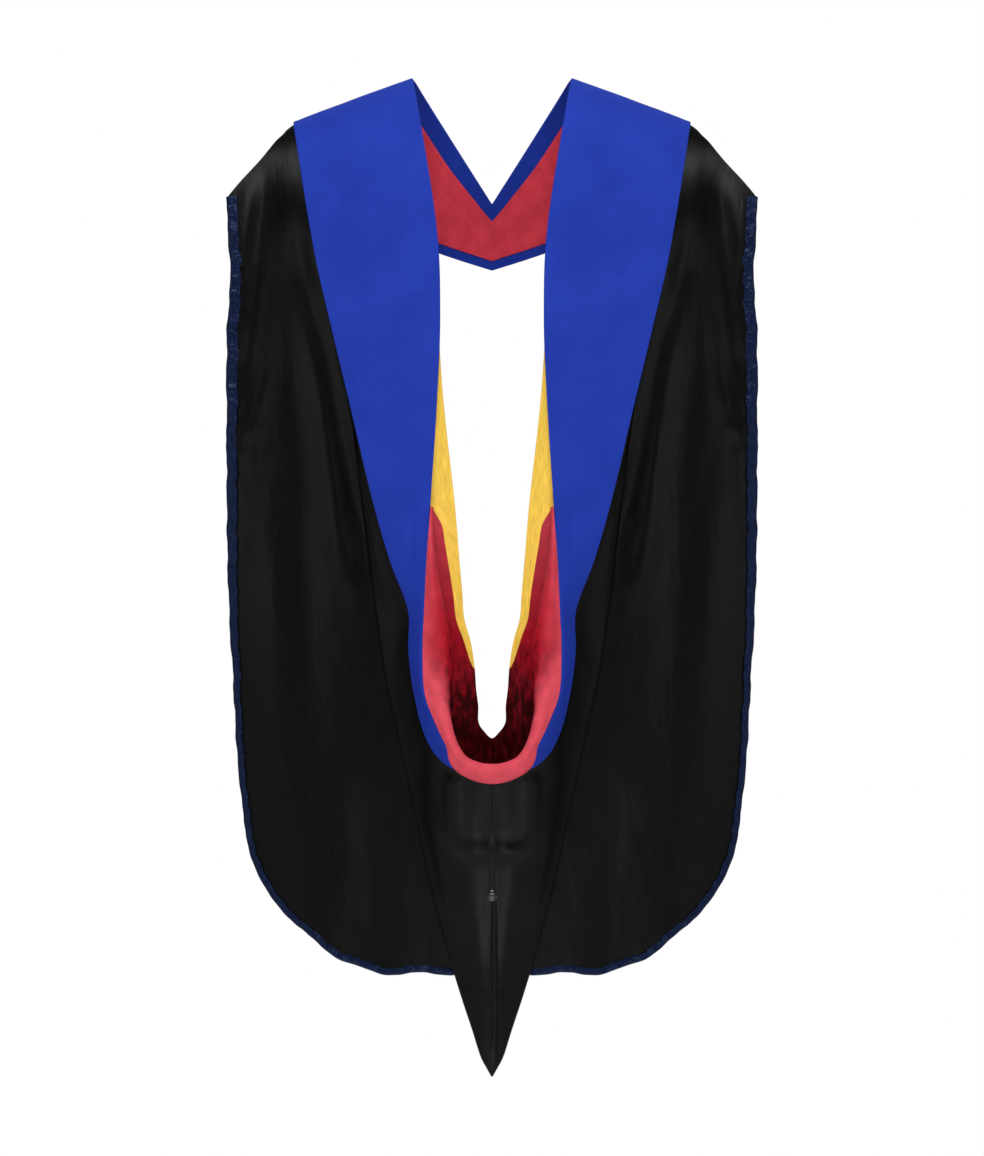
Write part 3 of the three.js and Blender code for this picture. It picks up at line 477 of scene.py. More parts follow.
def shell_swell(points, depth):
    """Folds of the bag, all outwards: the soft one beside the cord, the tail's seam and long drapes."""
    x, z = points[..., 0], points[..., 2]
    side = np.abs(x)
    last = LAP_COLUMNS + FRONT_COLUMNS
    front = np.ones_like(x)
    front[:, last:] = 0
    front[:, last - 7:last] = np.linspace(1, 0.15, 7)
    fold = 3.8 * bump(path_distance(side, z, CORD_FOLD), 0, 9)
    seam = 1.5 * bump(x, 2.5, 1.8) * smooth(-z, 850, 880) * (1 - smooth(-z, 1010, 1040))
    below = smooth(-z, COWL_DROP, COWL_DROP + 60)
    drape = 3 * bump(side, 66 + (z + 742) * 0.19, 9) * below * (1 - smooth(-z, 850, 920))
    strip = 2.8 * bump(side, 126 + (z + 470) * 0.17, 8) * smooth(-z, 360, 420) * (1 - smooth(-z, 500, 580))
    fine = 0.4 + 0.35 * ripple(x / 11, z / 19, 3)
    return (fold + seam + drape + strip + fine) * front * depth / MM


# Seam between red and gold: share of the back layer at places down the side
SEAM_AT = (4, 4.1, 4.34, 4.66, 5.22, 6.3, 7.26, 7.92, 8.1)
SEAM_SHARE = (0.72, 0.75, 0.835, 0.855, 0.88, 0.91, 0.935, 0.975, 1)
RED_TOP, GOLD_TIP = 4.1, 8.05


def seam_share(at):
    return along(SEAM_AT, SEAM_SHARE, BOTTOM - np.abs(BOTTOM - at))


ROLL_STEPS = (0, 1, 2, 3)
ROLL_PART, ROLL_LIFT, ROLL_SWELL = (1, 0.55, 0.15, 0), (1, 1, 0.9, 0.5), (0, 1, 0.5, 0)


def cowl_surface():
    """Middle of the cowl's lining: outside of the roll, over it, down the pocket and up the back."""
    at = places(RED_TOP, 14, both=True)
    s = section(at)
    t = np.linspace(0, 3, 18)[None]
    part, high, swell = (along(ROLL_STEPS, line, t) for line in (ROLL_PART, ROLL_LIFT, ROLL_SWELL))
    count = len(at)
    under = 0.26 * smooth(-np.abs(at - BOTTOM), -3, -0.6)[:, None] * np.clip(1 - t / 0.8, 0, 1)
    outside = front_point(s, np.clip(part, 0, 1) + under)
    width = np.linalg.norm(corner(s, "turn") - corner(s, "rim"), axis=-1)[:, None]
    puff = ROLL_PUFF * smooth(width, NOSE, 5 * NOSE)
    reach = high * (VELVET_HIGH + CLEAR + LINING_WALL / 2) + swell * puff
    roll = outside - grid_normals(outside) * reach[..., None]
    low = (LINING_HIGH + LINING_LOW) / 2
    lap = 2 - lap_share(s)
    inner_parts = np.concatenate([
        np.broadcast_to(np.linspace(0.15, 1.04, 8)[:-1], (count, 7)),
        mix(1.04, lap, np.linspace(0, 1, 9)[None, :-1]),
        mix(lap, 2, np.array([[0, 0.5]])),
        np.broadcast_to(np.linspace(2, 2 + POCKET_SHARE, 12), (count, 12)),
    ], axis=1)
    inside = lift(front_point(s, inner_parts), np.full((count, inner_parts.shape[1]), low))
    seam, fold, mouth = (corner(s, name) for name in ("seam", "fold", "mouth"))
    reach_back = np.linalg.norm(mouth - fold, axis=-1)
    pocket = np.linalg.norm(mix(seam, fold, POCKET_SHARE) - fold, axis=-1) / reach_back
    end = seam_share(at)
    shares = mix(pocket[:, None], end[:, None], np.linspace(0, 1, 26)[None])
    over_gold = 1.5 * (1 - smooth(BOTTOM - np.abs(at - BOTTOM), GOLD_TIP - 0.2, GOLD_TIP))[:, None]
    rear = lift(back_point(s, shares), low - over_gold + 0 * shares)
    bottom = (inside[:, -1:] + rear[:, :1]) / 2
    outwards = unit(fold - seam)
    bottom[:, 0, 0] += outwards[:, 0] * FOLD_ROUND
    bottom[:, 0, 2] += outwards[:, 1] * FOLD_ROUND
    return raised_bottom(soften(np.concatenate([roll, inside, bottom, rear], axis=1), across=1))


def roll_swell(points, depth):
    """Shallow gathers across the turned-out roll, and loose folds in the pocket that stay off the shell."""
    rows, columns = points.shape[:2]
    run = run_along(points[:, 9])
    run = np.abs(run - run[len(run) // 2])[:, None]
    across = np.arange(columns)[None]
    shown = bump(across, 9, 7) * smooth(run, 20, 90) * (1 - smooth(run, 180, 260))
    gathers = 0.35 * np.sin(run / 9.1 + 1.6 * np.sin(run / 31) + across * 0.12) \
        + 0.3 * np.sin(run / 17.7 + across * 0.2)
    loose = -0.7 - 0.6 * ripple(points[..., 0] / 7, points[..., 2] / 11, 8)
    return (gathers * shown + loose * smooth(across, 26, 34)) * depth / MM


def gold_surface():
    at = np.append(np.arange(SHELL_TOP, GOLD_TIP, 1 / 14), GOLD_TIP)
    s = section(at)
    tuck = mix(0.05, 0.01, smooth(at, 7.2, GOLD_TIP)) + 0.3 * (1 - smooth(at, RED_TOP, RED_TOP + 0.6))
    start = seam_share(at) - tuck
    points = back_point(s, mix(start[:, None], 1, np.linspace(0, 1, 22)[None]))
    return lift(points, np.full(points.shape[:2], (LINING_LOW + LINING_HIGH) / 2))


def gold_swell(points, depth):
    x, z = points[..., 0], points[..., 2]
    slant = x + (z + 450) * 0.1
    return (0.45 * np.sin(slant / 4.4) + 0.3 * ripple(x / 9, z / 40, 4)) * depth / MM


def panel_place(across, down):
    """Place in the left panel, blended from its four edges."""
    def inner_x(fall):
        return -along(INNER_FALL, INNER_HALF, fall) * NECK_HALF

    def pair(x, z):
        return np.stack(np.broadcast_arrays(x, z), -1)

    bend = -(NECK_HALF + SHOULDER_OUT + FACING_LAP)
    x = mix(inner_x(np.zeros(1)), bend, np.minimum(1, across / RIDGE_PART))
    beyond = np.clip((across - RIDGE_PART) / (1 - RIDGE_PART), 0, 1)
    top = mix(pair(x, ridge(x)), pair(-PANEL_HALF, -CORNER_DROP), beyond[..., None])
    round_end = -(PANEL_HALF - LOWER_INSET)
    round_start = round_end + ROUND_WIDTH
    angle = np.clip((across - STRAIGHT_PART) / (1 - STRAIGHT_PART), 0, 1) * math.pi / 2
    power = 2 / ROUND_POWER
    straight = mix(inner_x(np.ones(1)), round_start, np.minimum(1, across / STRAIGHT_PART))
    low = pair(np.where(across <= STRAIGHT_PART, straight, round_start - ROUND_WIDTH * np.sin(angle) ** power),
               -PANEL_DROP + ROUND_HEIGHT * (1 - np.maximum(0, np.cos(angle)) ** power))
    outer = pair(-(PANEL_HALF - LOWER_INSET * down**INSET_POWER),
                 mix(-CORNER_DROP, -(PANEL_DROP - ROUND_HEIGHT), down))
    inner = pair(inner_x(down), mix(ridge(inner_x(np.zeros(1))), -PANEL_DROP, down))
    a, d = across[None, :, None], down[:, None, None]
    return (top[None] * (1 - d) + low[None] * d + inner[:, None] * (1 - a) + outer[:, None] * a
            - top[0] * (1 - d) * (1 - a) - top[-1] * (1 - d) * a - low[0] * d * (1 - a) - low[-1] * d * a)


def bag_half(z):
    return -along(-LEFT["fold_z"][SHELL_TOP:], LEFT["fold_x"][SHELL_TOP:], -z)


def panel_ripple(x, z):
    """How far the panel's soft folds lift it off the back, with none against the bag."""
    free = smooth(np.abs(x) - bag_half(z), 0, FOLD_CLEARANCE)
    fall = -z / PANEL_DROP
    total = 0
    for top, low, start, end, width, rise in PANEL_FOLDS:
        share = (fall - start) / (end - start)
        middle = mix(top, low, share) * PANEL_HALF
        shown = smooth(share, 0, 0.3) * (1 - smooth(share, 0.7, 1))
        total = total + rise * FOLD_DEPTH * shown * free * bump(np.abs(x), middle, width * PANEL_HALF)
    return total


PANEL_ACROSS = np.linspace(0, 1, 96)


def panel_surface():
    turned = SHOULDER_PLACES * SHOULDER_ROUND / PANEL_DROP
    down = np.concatenate([turned, np.linspace(SHOULDER_ROUND / PANEL_DROP, 1, 150)])
    place = panel_place(PANEL_ACROSS, down)
    x, z = place[..., 0], place[..., 1]
    drawn_in = 4.2 * bump(z, -208, 42) + 2 * bump(z, -640, 70) + 0.7 * np.sin(z / 8.3 + 1.2 * np.sin(z / 37))
    x = x + drawn_in * smooth(-x, 225, 272)
    drawn_up = 1.6 + 2 * np.sin(0.1074 * x + 0.31 + math.pi)
    z = z + drawn_up * smooth(-z, 800, 930) - 4 * bump(x, -219, 9) * bump(z, -52, 14)
    return soften(over_body(x, z, panel_ripple(x, z), -1), across=1, down=1)


# Outer edge of the velvet over the panel: fall and distance from the centre
FACING_EDGE_FALL, FACING_EDGE = (50, 204, 344, 421, 480), (208, 182, 152, 133, 118)


def panel_swell(points, depth):
    """Fine creases of the hanging satin: slanting from the shoulder, short ones at the binding."""
    x, z = points[..., 0], points[..., 2]
    side = np.abs(x)
    free = smooth(side - bag_half(z), 6, 30)
    slant = side + (z + 300) * 0.28
    creases = 0.9 * bump(slant, 246, 5) * bump(z, -345, 46) - 0.8 * bump(slant, 236, 4) * bump(z, -350, 40)
    hollow = -1.8 * bump(side, 226 - (z + 56) * 0.22, 11) * bump(z, -165, 60)
    facing = along(FACING_EDGE_FALL, FACING_EDGE, -z)
    beside = -7 * smooth(side, facing - 2, facing + 20) * (1 - smooth(side, facing + 20, facing + 85)) \
        * smooth(-z, 110, 210) * (1 - smooth(-z, 440, 540))
    near = smooth(side, 225, 262)
    tug = 0.35 * np.sin(z / 6.6 + 2.6 * np.sin(z / 31)) * near * smooth(-z, 130, 190) * bump(z, -380, 150)
    fine = 0.34 * ripple(x / 17, z / 46, 6)
    return ((creases + tug + fine) * free + hollow + beside) * depth / MM


def run_along(line):
    """Length from a line's first point to each of its points."""
    return np.cumsum(np.linalg.norm(np.diff(line, axis=0, prepend=line[:1]), axis=-1))


def evenly(line, step, *others):
    """Points of a line a step apart, and the values of other lines at the same places."""
    run = run_along(line)
    at = np.linspace(0, run[-1], int(run[-1] / step))
    return [np.stack([np.interp(at, run, values[:, k]) for k in range(3)], -1) for values in (line, *others)]


# The binding: spacing of its rings, rings across, share of them in the bend, and how far in its normals are taken
BINDING_STEP, BINDING_RINGS, BEND_PART, NORMAL_INSET = 2.4, 17, 0.42, 9


def binding_surface(depth):
    """Rings of the binding along the outer and lower edges of the left panel."""
    points = swollen(panel_surface(), panel_swell, depth)
    rows, columns = points.shape[:2]
    low, far = rows - NORMAL_INSET, columns - NORMAL_INSET
    normals = grid_normals(points)
    normals = np.concatenate([normals[np.minimum(np.arange(rows), low), far],
                              normals[low, np.minimum(np.arange(columns - 2, 0, -1), far)]])
    edge, normal = evenly(np.concatenate([points[:, -1], points[-1, -2:0:-1]]), BINDING_STEP, normals)
    edge, normal = soften(edge[:, None], down=6)[:, 0], soften(normal[:, None], down=12)[:, 0]
    tangent = unit(np.gradient(edge, axis=0))
    inwards = unit(np.cross(unit(normal), tangent))
    normal = np.cross(tangent, inwards) * np.sign(np.sum(np.cross(tangent, inwards) * normal))
    if inwards[len(edge) // 4, 0] < 0:
        inwards = -inwards
    run = run_along(edge)
    share = run / run[-1]
    leg = mix(BINDING_WIDTH, BINDING_LOW_WIDTH, smooth(share, 0.3, 0.6))
    pucker = np.sin(run / 3.1 + 1.9 * np.sin(run / 17)) * 0.5 + 0.5
    wave = np.sin(run / 3.3 + 1.4 * np.sin(run / 21)) + 0.5 * np.sin(run / 7.9)
    half = SATIN_WALL / 2 + BINDING_CLEAR + BINDING_WALL / 2
    rings = []
    for turn in np.linspace(-1, 1, BINDING_RINGS):
        flat = abs(turn) > BEND_PART
        reach = (abs(turn) - BEND_PART) / (1 - BEND_PART)
        angle = turn / BEND_PART * math.pi / 2
        into = reach * leg if flat else -(CLEAR + BINDING_WALL / 2) * math.cos(angle) + 0 * leg
        off = math.copysign(half, turn) if flat else half * math.sin(angle)
        swell = pucker * (0.75 if flat else 0.5) * math.copysign(1, turn) * min(1, abs(turn) * 2.5)
        swell = swell * (1 - 0.6 * max(0, reach) ** 4)
        ring = edge + inwards * (into + wave * 0.55 * (1 if flat and reach > 0.9 else 0.35))[:, None]
        rings.append(ring + normal * (off + swell)[:, None])
    return np.stack(rings, 1)


# ---------------------------------------------------------------- materials

class Graph:
    """Small help for laying out a node tree."""

    def __init__(self, tree):
        self.tree = tree

    def add(self, kind, **inputs):
        settings = inputs.pop("settings", {})
        node = self.tree.nodes.new(kind)
        for name, value in settings.items():
            setattr(node, name, value)
        for name, value in inputs.items():
            self.set(node, name.replace("_", " "), value)
        return node

    def set(self, node, name, value):
        socket = node.inputs[int(name[2:])] if name.startswith("at") else node.inputs[name]
        if isinstance(value, bpy.types.NodeSocket):
            self.tree.links.new(value, socket)
        else:
            socket.default_value = value

    def maths(self, operation, a, b=0.0):
        return self.add("ShaderNodeMath", at0=a, at1=b, settings={"operation": operation}).outputs[0]

    def noise(self, vector, scale, detail=3.0, roughness=0.5):
        node = self.add("ShaderNodeTexNoise", Vector=vector, Scale=scale, Detail=detail, Roughness=roughness)
        return node.outputs["Fac"]

    def stretch(self, vector, x, y, z=1.0):
        return self.add("ShaderNodeMapping", Vector=vector, Scale=(x, y, z)).outputs["Vector"]

    def between(self, value, low, high, to_low=0.0, to_high=1.0):
        node = self.add("ShaderNodeMapRange", Value=value)
        for name, number in (("From Min", low), ("From Max", high), ("To Min", to_low), ("To Max", to_high)):
            node.inputs[name].default_value = number
        return node.outputs["Result"]


def new_group(name, inputs, outputs):
    tree = bpy.data.node_groups.new(name, "ShaderNodeTree")
    for socket, kind, default in inputs:
        made = tree.interface.new_socket(socket, in_out="INPUT", socket_type=kind)
        if default is not None:
            made.default_value = default
    for socket, kind in outputs:
        tree.interface.new_socket(socket, in_out="OUTPUT", socket_type=kind)
    graph = Graph(tree)
    return tree, graph, tree.nodes.new("NodeGroupInput").outputs, tree.nodes.new("NodeGroupOutput")


def satin_weave_group():
    """Height and tone of a satin weave: long threads one way, fine ones across, with slubs."""
    if "satin_weave" in bpy.data.node_groups:
        return bpy.data.node_groups["satin_weave"]
    tree, graph, given, out = new_group(
        "satin_weave",
        [("Vector", "NodeSocketVector", None), ("Threads", "NodeSocketFloat", 2600.0)],
        [("Height", "NodeSocketFloat"), ("Tone", "NodeSocketFloat")])
    split = graph.add("ShaderNodeSeparateXYZ", Vector=given["Vector"])
    warp = graph.maths("SINE", graph.maths("MULTIPLY", split.outputs["X"], given["Threads"]))
    slant = graph.maths("ADD", graph.maths("MULTIPLY", split.outputs["X"], 0.4), split.outputs["Y"])
    weft = graph.maths("SINE", graph.maths("MULTIPLY", slant, given["Threads"]))
    slubs = graph.noise(graph.stretch(given["Vector"], 900.0, 60.0), 1.0, 3.0)
    threads = graph.maths("ADD", graph.maths("MULTIPLY", warp, 0.5), graph.maths("MULTIPLY", weft, 0.22))
    graph.set(out, "Height", graph.maths("ADD", threads, graph.maths("MULTIPLY", slubs, 0.8)))
    graph.set(out, "Tone", graph.between(slubs, 0.3, 0.7))
    return tree


def pile_group():
    """Height and tone of a cut pile: fine tufts, brushed streaks and larger pressed places."""
    if "cut_pile" in bpy.data.node_groups:
        return bpy.data.node_groups["cut_pile"]
    tree, graph, given, out = new_group(
        "cut_pile",
        [("Vector", "NodeSocketVector", None), ("Tufts", "NodeSocketFloat", 1500.0),
         ("Patches", "NodeSocketFloat", 17.0)],
        [("Height", "NodeSocketFloat"), ("Tone", "NodeSocketFloat"), ("Pressed", "NodeSocketFloat")])
    tufts = graph.noise(given["Vector"], given["Tufts"], 2.0, 0.7)
    streaks = graph.noise(graph.stretch(given["Vector"], 260.0, 90.0), 1.0, 3.0, 0.6)
    places_pressed = graph.noise(given["Vector"], given["Patches"], 3.0, 0.55)
    graph.set(out, "Height", graph.maths("ADD", tufts, graph.maths("MULTIPLY", streaks, 0.7)))
    graph.set(out, "Tone", graph.maths("ADD", graph.maths("MULTIPLY", tufts, 0.55),
                                       graph.maths("MULTIPLY", streaks, 0.45)))
    graph.set(out, "Pressed", graph.between(places_pressed, 0.35, 0.68))
    return tree


def wrinkle_group():
    """Height of small soft wrinkles that run mostly down the cloth."""
    if "soft_wrinkles" in bpy.data.node_groups:
        return bpy.data.node_groups["soft_wrinkles"]
    tree, graph, given, out = new_group(
        "soft_wrinkles",
        [("Vector", "NodeSocketVector", None), ("Across", "NodeSocketFloat", 60.0),
         ("Along", "NodeSocketFloat", 14.0)],
        [("Height", "NodeSocketFloat")])
    split = graph.add("ShaderNodeSeparateXYZ", Vector=given["Vector"])
    joined = graph.add("ShaderNodeCombineXYZ",
                       X=graph.maths("MULTIPLY", split.outputs["X"], given["Across"]),
                       Y=graph.maths("MULTIPLY", split.outputs["Y"], given["Along"]),
                       Z=graph.maths("MULTIPLY", split.outputs["Z"], given["Along"]))
    graph.set(out, "Height", graph.noise(joined.outputs["Vector"], 1.0, 2.0, 0.45))
    return tree


def shader(name, roughness, **constants):
    """Material with a Principled shader whose constants sit on its own sockets."""
    finish = bpy.data.materials.new(name)
    finish.use_nodes = True
    graph = Graph(finish.node_tree)
    principled = finish.node_tree.nodes["Principled BSDF"]
    principled.inputs["Roughness"].default_value = roughness
    for socket, value in constants.items():
        principled.inputs[socket.replace("_", " ")].default_value = value
    return finish, graph, principled


def grouped(graph, tree, **inputs):
    node = graph.add("ShaderNodeGroup", settings={"node_tree": tree})
    for name, value in inputs.items():
        graph.set(node, name, value)
    return node.outputs


def toned(graph, dark, light, factor):
    node = graph.add("ShaderNodeMix", settings={"data_type": "RGBA"})
    graph.tree.links.new(factor, node.inputs["Factor"])
    node.inputs[6].default_value = (*dark, 1)
    node.inputs[7].default_value = (*light, 1)
    return node.outputs[2]


def raised(graph, principled, *layers):
    """Stacks heights, each with its own distance in metres, into the shader's normal."""
    normal = None
    for height, distance in layers:
        node = graph.add("ShaderNodeBump", Height=height, Strength=1.0, Distance=distance)
        if normal:
            graph.set(node, "Normal", normal)
        normal = node.outputs["Normal"]
    graph.set(principled, "Normal", normal)


def shade(colour, factor):
    return tuple(min(1, channel * factor) for channel in colour)


def pile_finish(name, colour, tufts, light=1.22, dark=0.88, patches=17.0):
    finish, graph, principled = shader(name, 0.86, Sheen_Weight=0.2, Sheen_Roughness=0.45,
                                       Specular_IOR_Level=0.1)
    principled.inputs["Sheen Tint"].default_value = (*shade(colour, 1.6), 1)
    uv = graph.add("ShaderNodeUVMap").outputs["UV"]
    pile = grouped(graph, pile_group(), Vector=uv, Tufts=tufts, Patches=patches)
    tone = graph.maths("ADD", graph.maths("MULTIPLY", pile["Tone"], 0.55),
                       graph.maths("MULTIPLY", pile["Pressed"], 0.4))
    graph.set(principled, "Base Color", toned(graph, shade(colour, dark), shade(colour, light), tone))
    graph.set(principled, "Roughness", graph.between(pile["Pressed"], 0.0, 1.0, 0.9, 0.74))
    raised(graph, principled, (pile["Height"], 0.0005))
    return finish


def satin_finish(name, colour, roughness, wrinkles, gloss=0.5, light=1.25, across=60.0, along_cloth=14.0,
                 tint=(1, 1, 1)):
    finish, graph, principled = shader(name, roughness, Specular_IOR_Level=gloss, Anisotropic=0.35)
    principled.inputs["Specular Tint"].default_value = (*tint, 1)
    vector = graph.add("ShaderNodeUVMap").outputs["UV"]
    weave = grouped(graph, satin_weave_group(), Vector=vector, Threads=5200.0)
    folds = grouped(graph, wrinkle_group(), Vector=vector, Across=across, Along=along_cloth)
    graph.set(principled, "Base Color", toned(graph, shade(colour, 0.85), shade(colour, light), weave["Tone"]))
    graph.set(principled, "Roughness",
              graph.between(weave["Tone"], 0.0, 1.0, roughness - 0.04, roughness + 0.05))
    raised(graph, principled, (folds["Height"], wrinkles), (weave["Height"], 0.00004))
    return finish


def blended(graph, a, b, factor):
    node = graph.add("ShaderNodeMix", settings={"data_type": "RGBA"})
    for socket, value in ((node.inputs["Factor"], factor), (node.inputs[6], a), (node.inputs[7], b)):
        graph.tree.links.new(value, socket)
    return node.outputs[2]


def cowl_finish(name, plain, turned, painted_shade_red):
    """Red satin with painted light on the turned-out roll and painted shade, mottled, in the depth of the cowl.
    """
    finish, graph, principled = shader(name, 0.5, Specular_IOR_Level=0.05)
    uv = graph.add("ShaderNodeUVMap").outputs["UV"]
    share = graph.add("ShaderNodeUVMap", settings={"uv_map": "share"}).outputs["UV"]
    place = graph.add("ShaderNodeTexCoord").outputs["Object"]
    weave = grouped(graph, satin_weave_group(), Vector=uv, Threads=5200.0)
    pile = grouped(graph, pile_group(), Vector=uv, Tufts=900.0, Patches=60.0)
    folds = grouped(graph, wrinkle_group(), Vector=uv, Across=50.0, Along=22.0)
    shade_mottle = graph.noise(graph.stretch(place, 190.0, 60.0, 62.0), 1.0, 4.0, 0.62)
    across = graph.add("ShaderNodeSeparateXYZ", Vector=share).outputs["X"]
    depth = graph.add("ShaderNodeSeparateXYZ", Vector=place).outputs["Z"]
    # Painted light on the roll: a lighter red out to a share of its width, its edge soft higher up and sharp
    # lower down, jittered by the wrinkles.
    edge = graph.between(depth, -0.69, -0.6, 0.25, 0.13)
    softness = graph.between(depth, -0.69, -0.6, 0.03, 0.17)
    streak = graph.between(folds["Height"], 0.3, 0.7, -0.02, 0.02)
    from_edge = graph.maths("SUBTRACT", graph.maths("ADD", edge, streak), across)
    roll = graph.add("ShaderNodeMath", at0=graph.maths("DIVIDE", from_edge, softness), at1=0.0,
                     settings={"operation": "ADD", "use_clamp": True}).outputs[0]
    # Painted shade in the pocket: below a wavering depth the lining turns to a dark mottled red.
    uneven = graph.maths("ADD", depth, graph.between(shade_mottle, 0.3, 0.7, -0.035, 0.035))
    below = graph.between(uneven, -0.665, -0.585, 1.0, 0.0)
    # Painted light: the lining inside is lightened towards the top of the cowl.
    painted_light_higher = graph.between(depth, -0.585, -0.47, 0.0, 0.62)
    tone = graph.maths("ADD", graph.maths("MULTIPLY", pile["Tone"], 0.5),
                       graph.maths("MULTIPLY", pile["Pressed"], 0.5))
    # Painted light: the lighter red laid on the roll and the upper lining.
    light = toned(graph, shade(turned, 0.8), shade(turned, 1.25), tone)
    base = toned(graph, shade(plain, 0.75), shade(plain, 1.2), tone)
    # Painted shade: near-black red, mottled towards half the plain red, laid in the pocket.
    dark = toned(graph, painted_shade_red, shade(plain, 0.5), graph.between(shade_mottle, 0.47, 0.78))
    inside = blended(graph, blended(graph, base, light, painted_light_higher), dark, below)
    graph.set(principled, "Base Color", blended(graph, inside, light, roll))
    raised(graph, principled, (folds["Height"], 0.0012), (weave["Height"], 0.00004))
    return finish


def cord_finish(name, colour):
    finish, graph, principled = shader(name, 0.5, Specular_IOR_Level=0.14)
    uv = graph.add("ShaderNodeUVMap").outputs["UV"]
    strands = graph.noise(graph.stretch(uv, 1800.0, 500.0), 1.0, 2.0)
    graph.set(principled, "Base Color", toned(graph, shade(colour, 0.4), shade(colour, 1.2), strands))
    graph.set(principled, "Roughness", graph.between(strands, 0.2, 0.8, 0.45, 0.65))
    raised(graph, principled, (strands, 0.0002))
    return finish


def button_finish(name, colour):
    finish, graph, principled = shader(name, 0.16, Specular_IOR_Level=0.6)
    place = graph.add("ShaderNodeTexCoord").outputs["Object"]
    swirl = graph.noise(place, 420.0, 4.0)
    graph.set(principled, "Base Color", toned(graph, colour, shade(colour, 3.0), swirl))
    graph.set(principled, "Roughness", graph.between(swirl, 0.3, 0.7, 0.12, 0.24))
    raised(graph, principled, (swirl, 0.00002))
    return finish


# ---------------------------------------------------------------- settings

def length(name, description, default):
    return FloatProperty(name=name, description=description, default=default, min=0.0, unit="LENGTH",
                         subtype="DISTANCE", precision=5)


def colour(name, description, default):
    return FloatVectorProperty(name=name, description=description, default=default, size=3, min=0.0,
                               max=1.0, subtype="COLOR")


class HoodSizes(bpy.types.PropertyGroup):
    """Thickness and unevenness of the cloth, and the size of its trimmings."""

    velvet_wall: length("Velvet", "Thickness of the velvet", VELVET_WALL * MM)
    satin_wall: length("Satin", "Thickness of the black satin", SATIN_WALL * MM)
    lining_wall: length("Lining", "Thickness of the linings", LINING_WALL * MM)
    binding_wall: length("Binding", "Thickness of the binding", BINDING_WALL * MM)
    velvet_swell: length("Velvet swell", "Depth of the velvet's unevenness", 0.001)
    satin_swell: length("Satin swell", "Depth of the satin's creases", 0.001)
    roll_swell: length("Roll gathers", "Depth of the gathers on the roll", 0.001)
    cord_diameter: length("Cord", "Diameter of the cord", CORD_DIAMETER * MM)
    button_diameter: length("Button", "Diameter of the button", BUTTON_DIAMETER * MM)


class HoodColours(bpy.types.PropertyGroup):
    """Colours of the cloths and trimmings."""

    velvet: colour("Velvet", "Velvet of the facing", (0.0097, 0.0290, 0.275))
    neck_red: colour("Neck lining", "Napped lining inside the front band", (0.5, 0.033, 0.053))
    satin_black: colour("Black satin", "Shell and side panels", (0.0007, 0.0008, 0.0007))
    satin_navy: colour("Binding", "Satin binding of the panels", (0.0022, 0.0042, 0.017))
    satin_gold: colour("Gold satin", "Gold part of the lining", (0.83, 0.52, 0.066))
    satin_red: colour("Red satin", "Lining of the cowl", (0.3, 0.004, 0.013))
    # Painted light: a lighter copy of the red lining, laid on the turned-out roll.
    satin_turned: colour("Painted light red", "Lining where it is turned out over the rim", (0.5, 0.054, 0.077))
    # Painted shade: a near-black red laid in the depth of the cowl.
    satin_deep: colour("Painted shade red", "Lining in the depth of the cowl", (0.03, 0.0, 0.001))
    cord: colour("Cord", "Cord of the cowl", (0.006, 0.006, 0.006))
    button: colour("Button", "Button of the cowl", (0.004, 0.004, 0.004))


class StageSettings(bpy.types.PropertyGroup):
    """Floor, light and camera round the hood."""

    floor: colour("Floor", "Pale floor", (0.86, 0.86, 0.86))
    sky: colour("Surroundings", "Plain studio walls", (1.0, 1.0, 1.0))
    floor_drop: length("Floor drop", "Floor below the neck", 2.0)
    camera_distance: length("Camera distance", "Camera from the cloth", 20.22)
    camera_height: length("Camera drop", "Camera below the neck", 0.527)


# ---------------------------------------------------------------- operators

WALL_LIGHT, FLOOR_SIZE, LENS = 0.13, 30, 600
# Name, place in metres, diameter in metres and power in watts
LAMPS = (
    ("back_lamp", (0.0, -2.3, 1.5), 1.1, 53),
    ("low_lamp", (0.0, -2.4, -1.5), 0.6, 12),
    ("left_lamp", (-2.2, -2.1, -0.35), 0.8, 8),
    ("right_lamp", (2.2, -2.1, -0.35), 0.8, 8),
    ("left_high_lamp", (-1.75, -1.1, 1.65), 0.7, 24),
    ("right_high_lamp", (1.75, -1.1, 1.65), 0.7, 24),
    ("top_lamp", (0.0, 0.0, 1.7), 0.7, 8),
    ("front_left_lamp", (-1.6, 2.2, 0.9), 0.8, 18),
    ("front_right_lamp", (1.6, 2.2, 0.9), 0.8, 18),
)


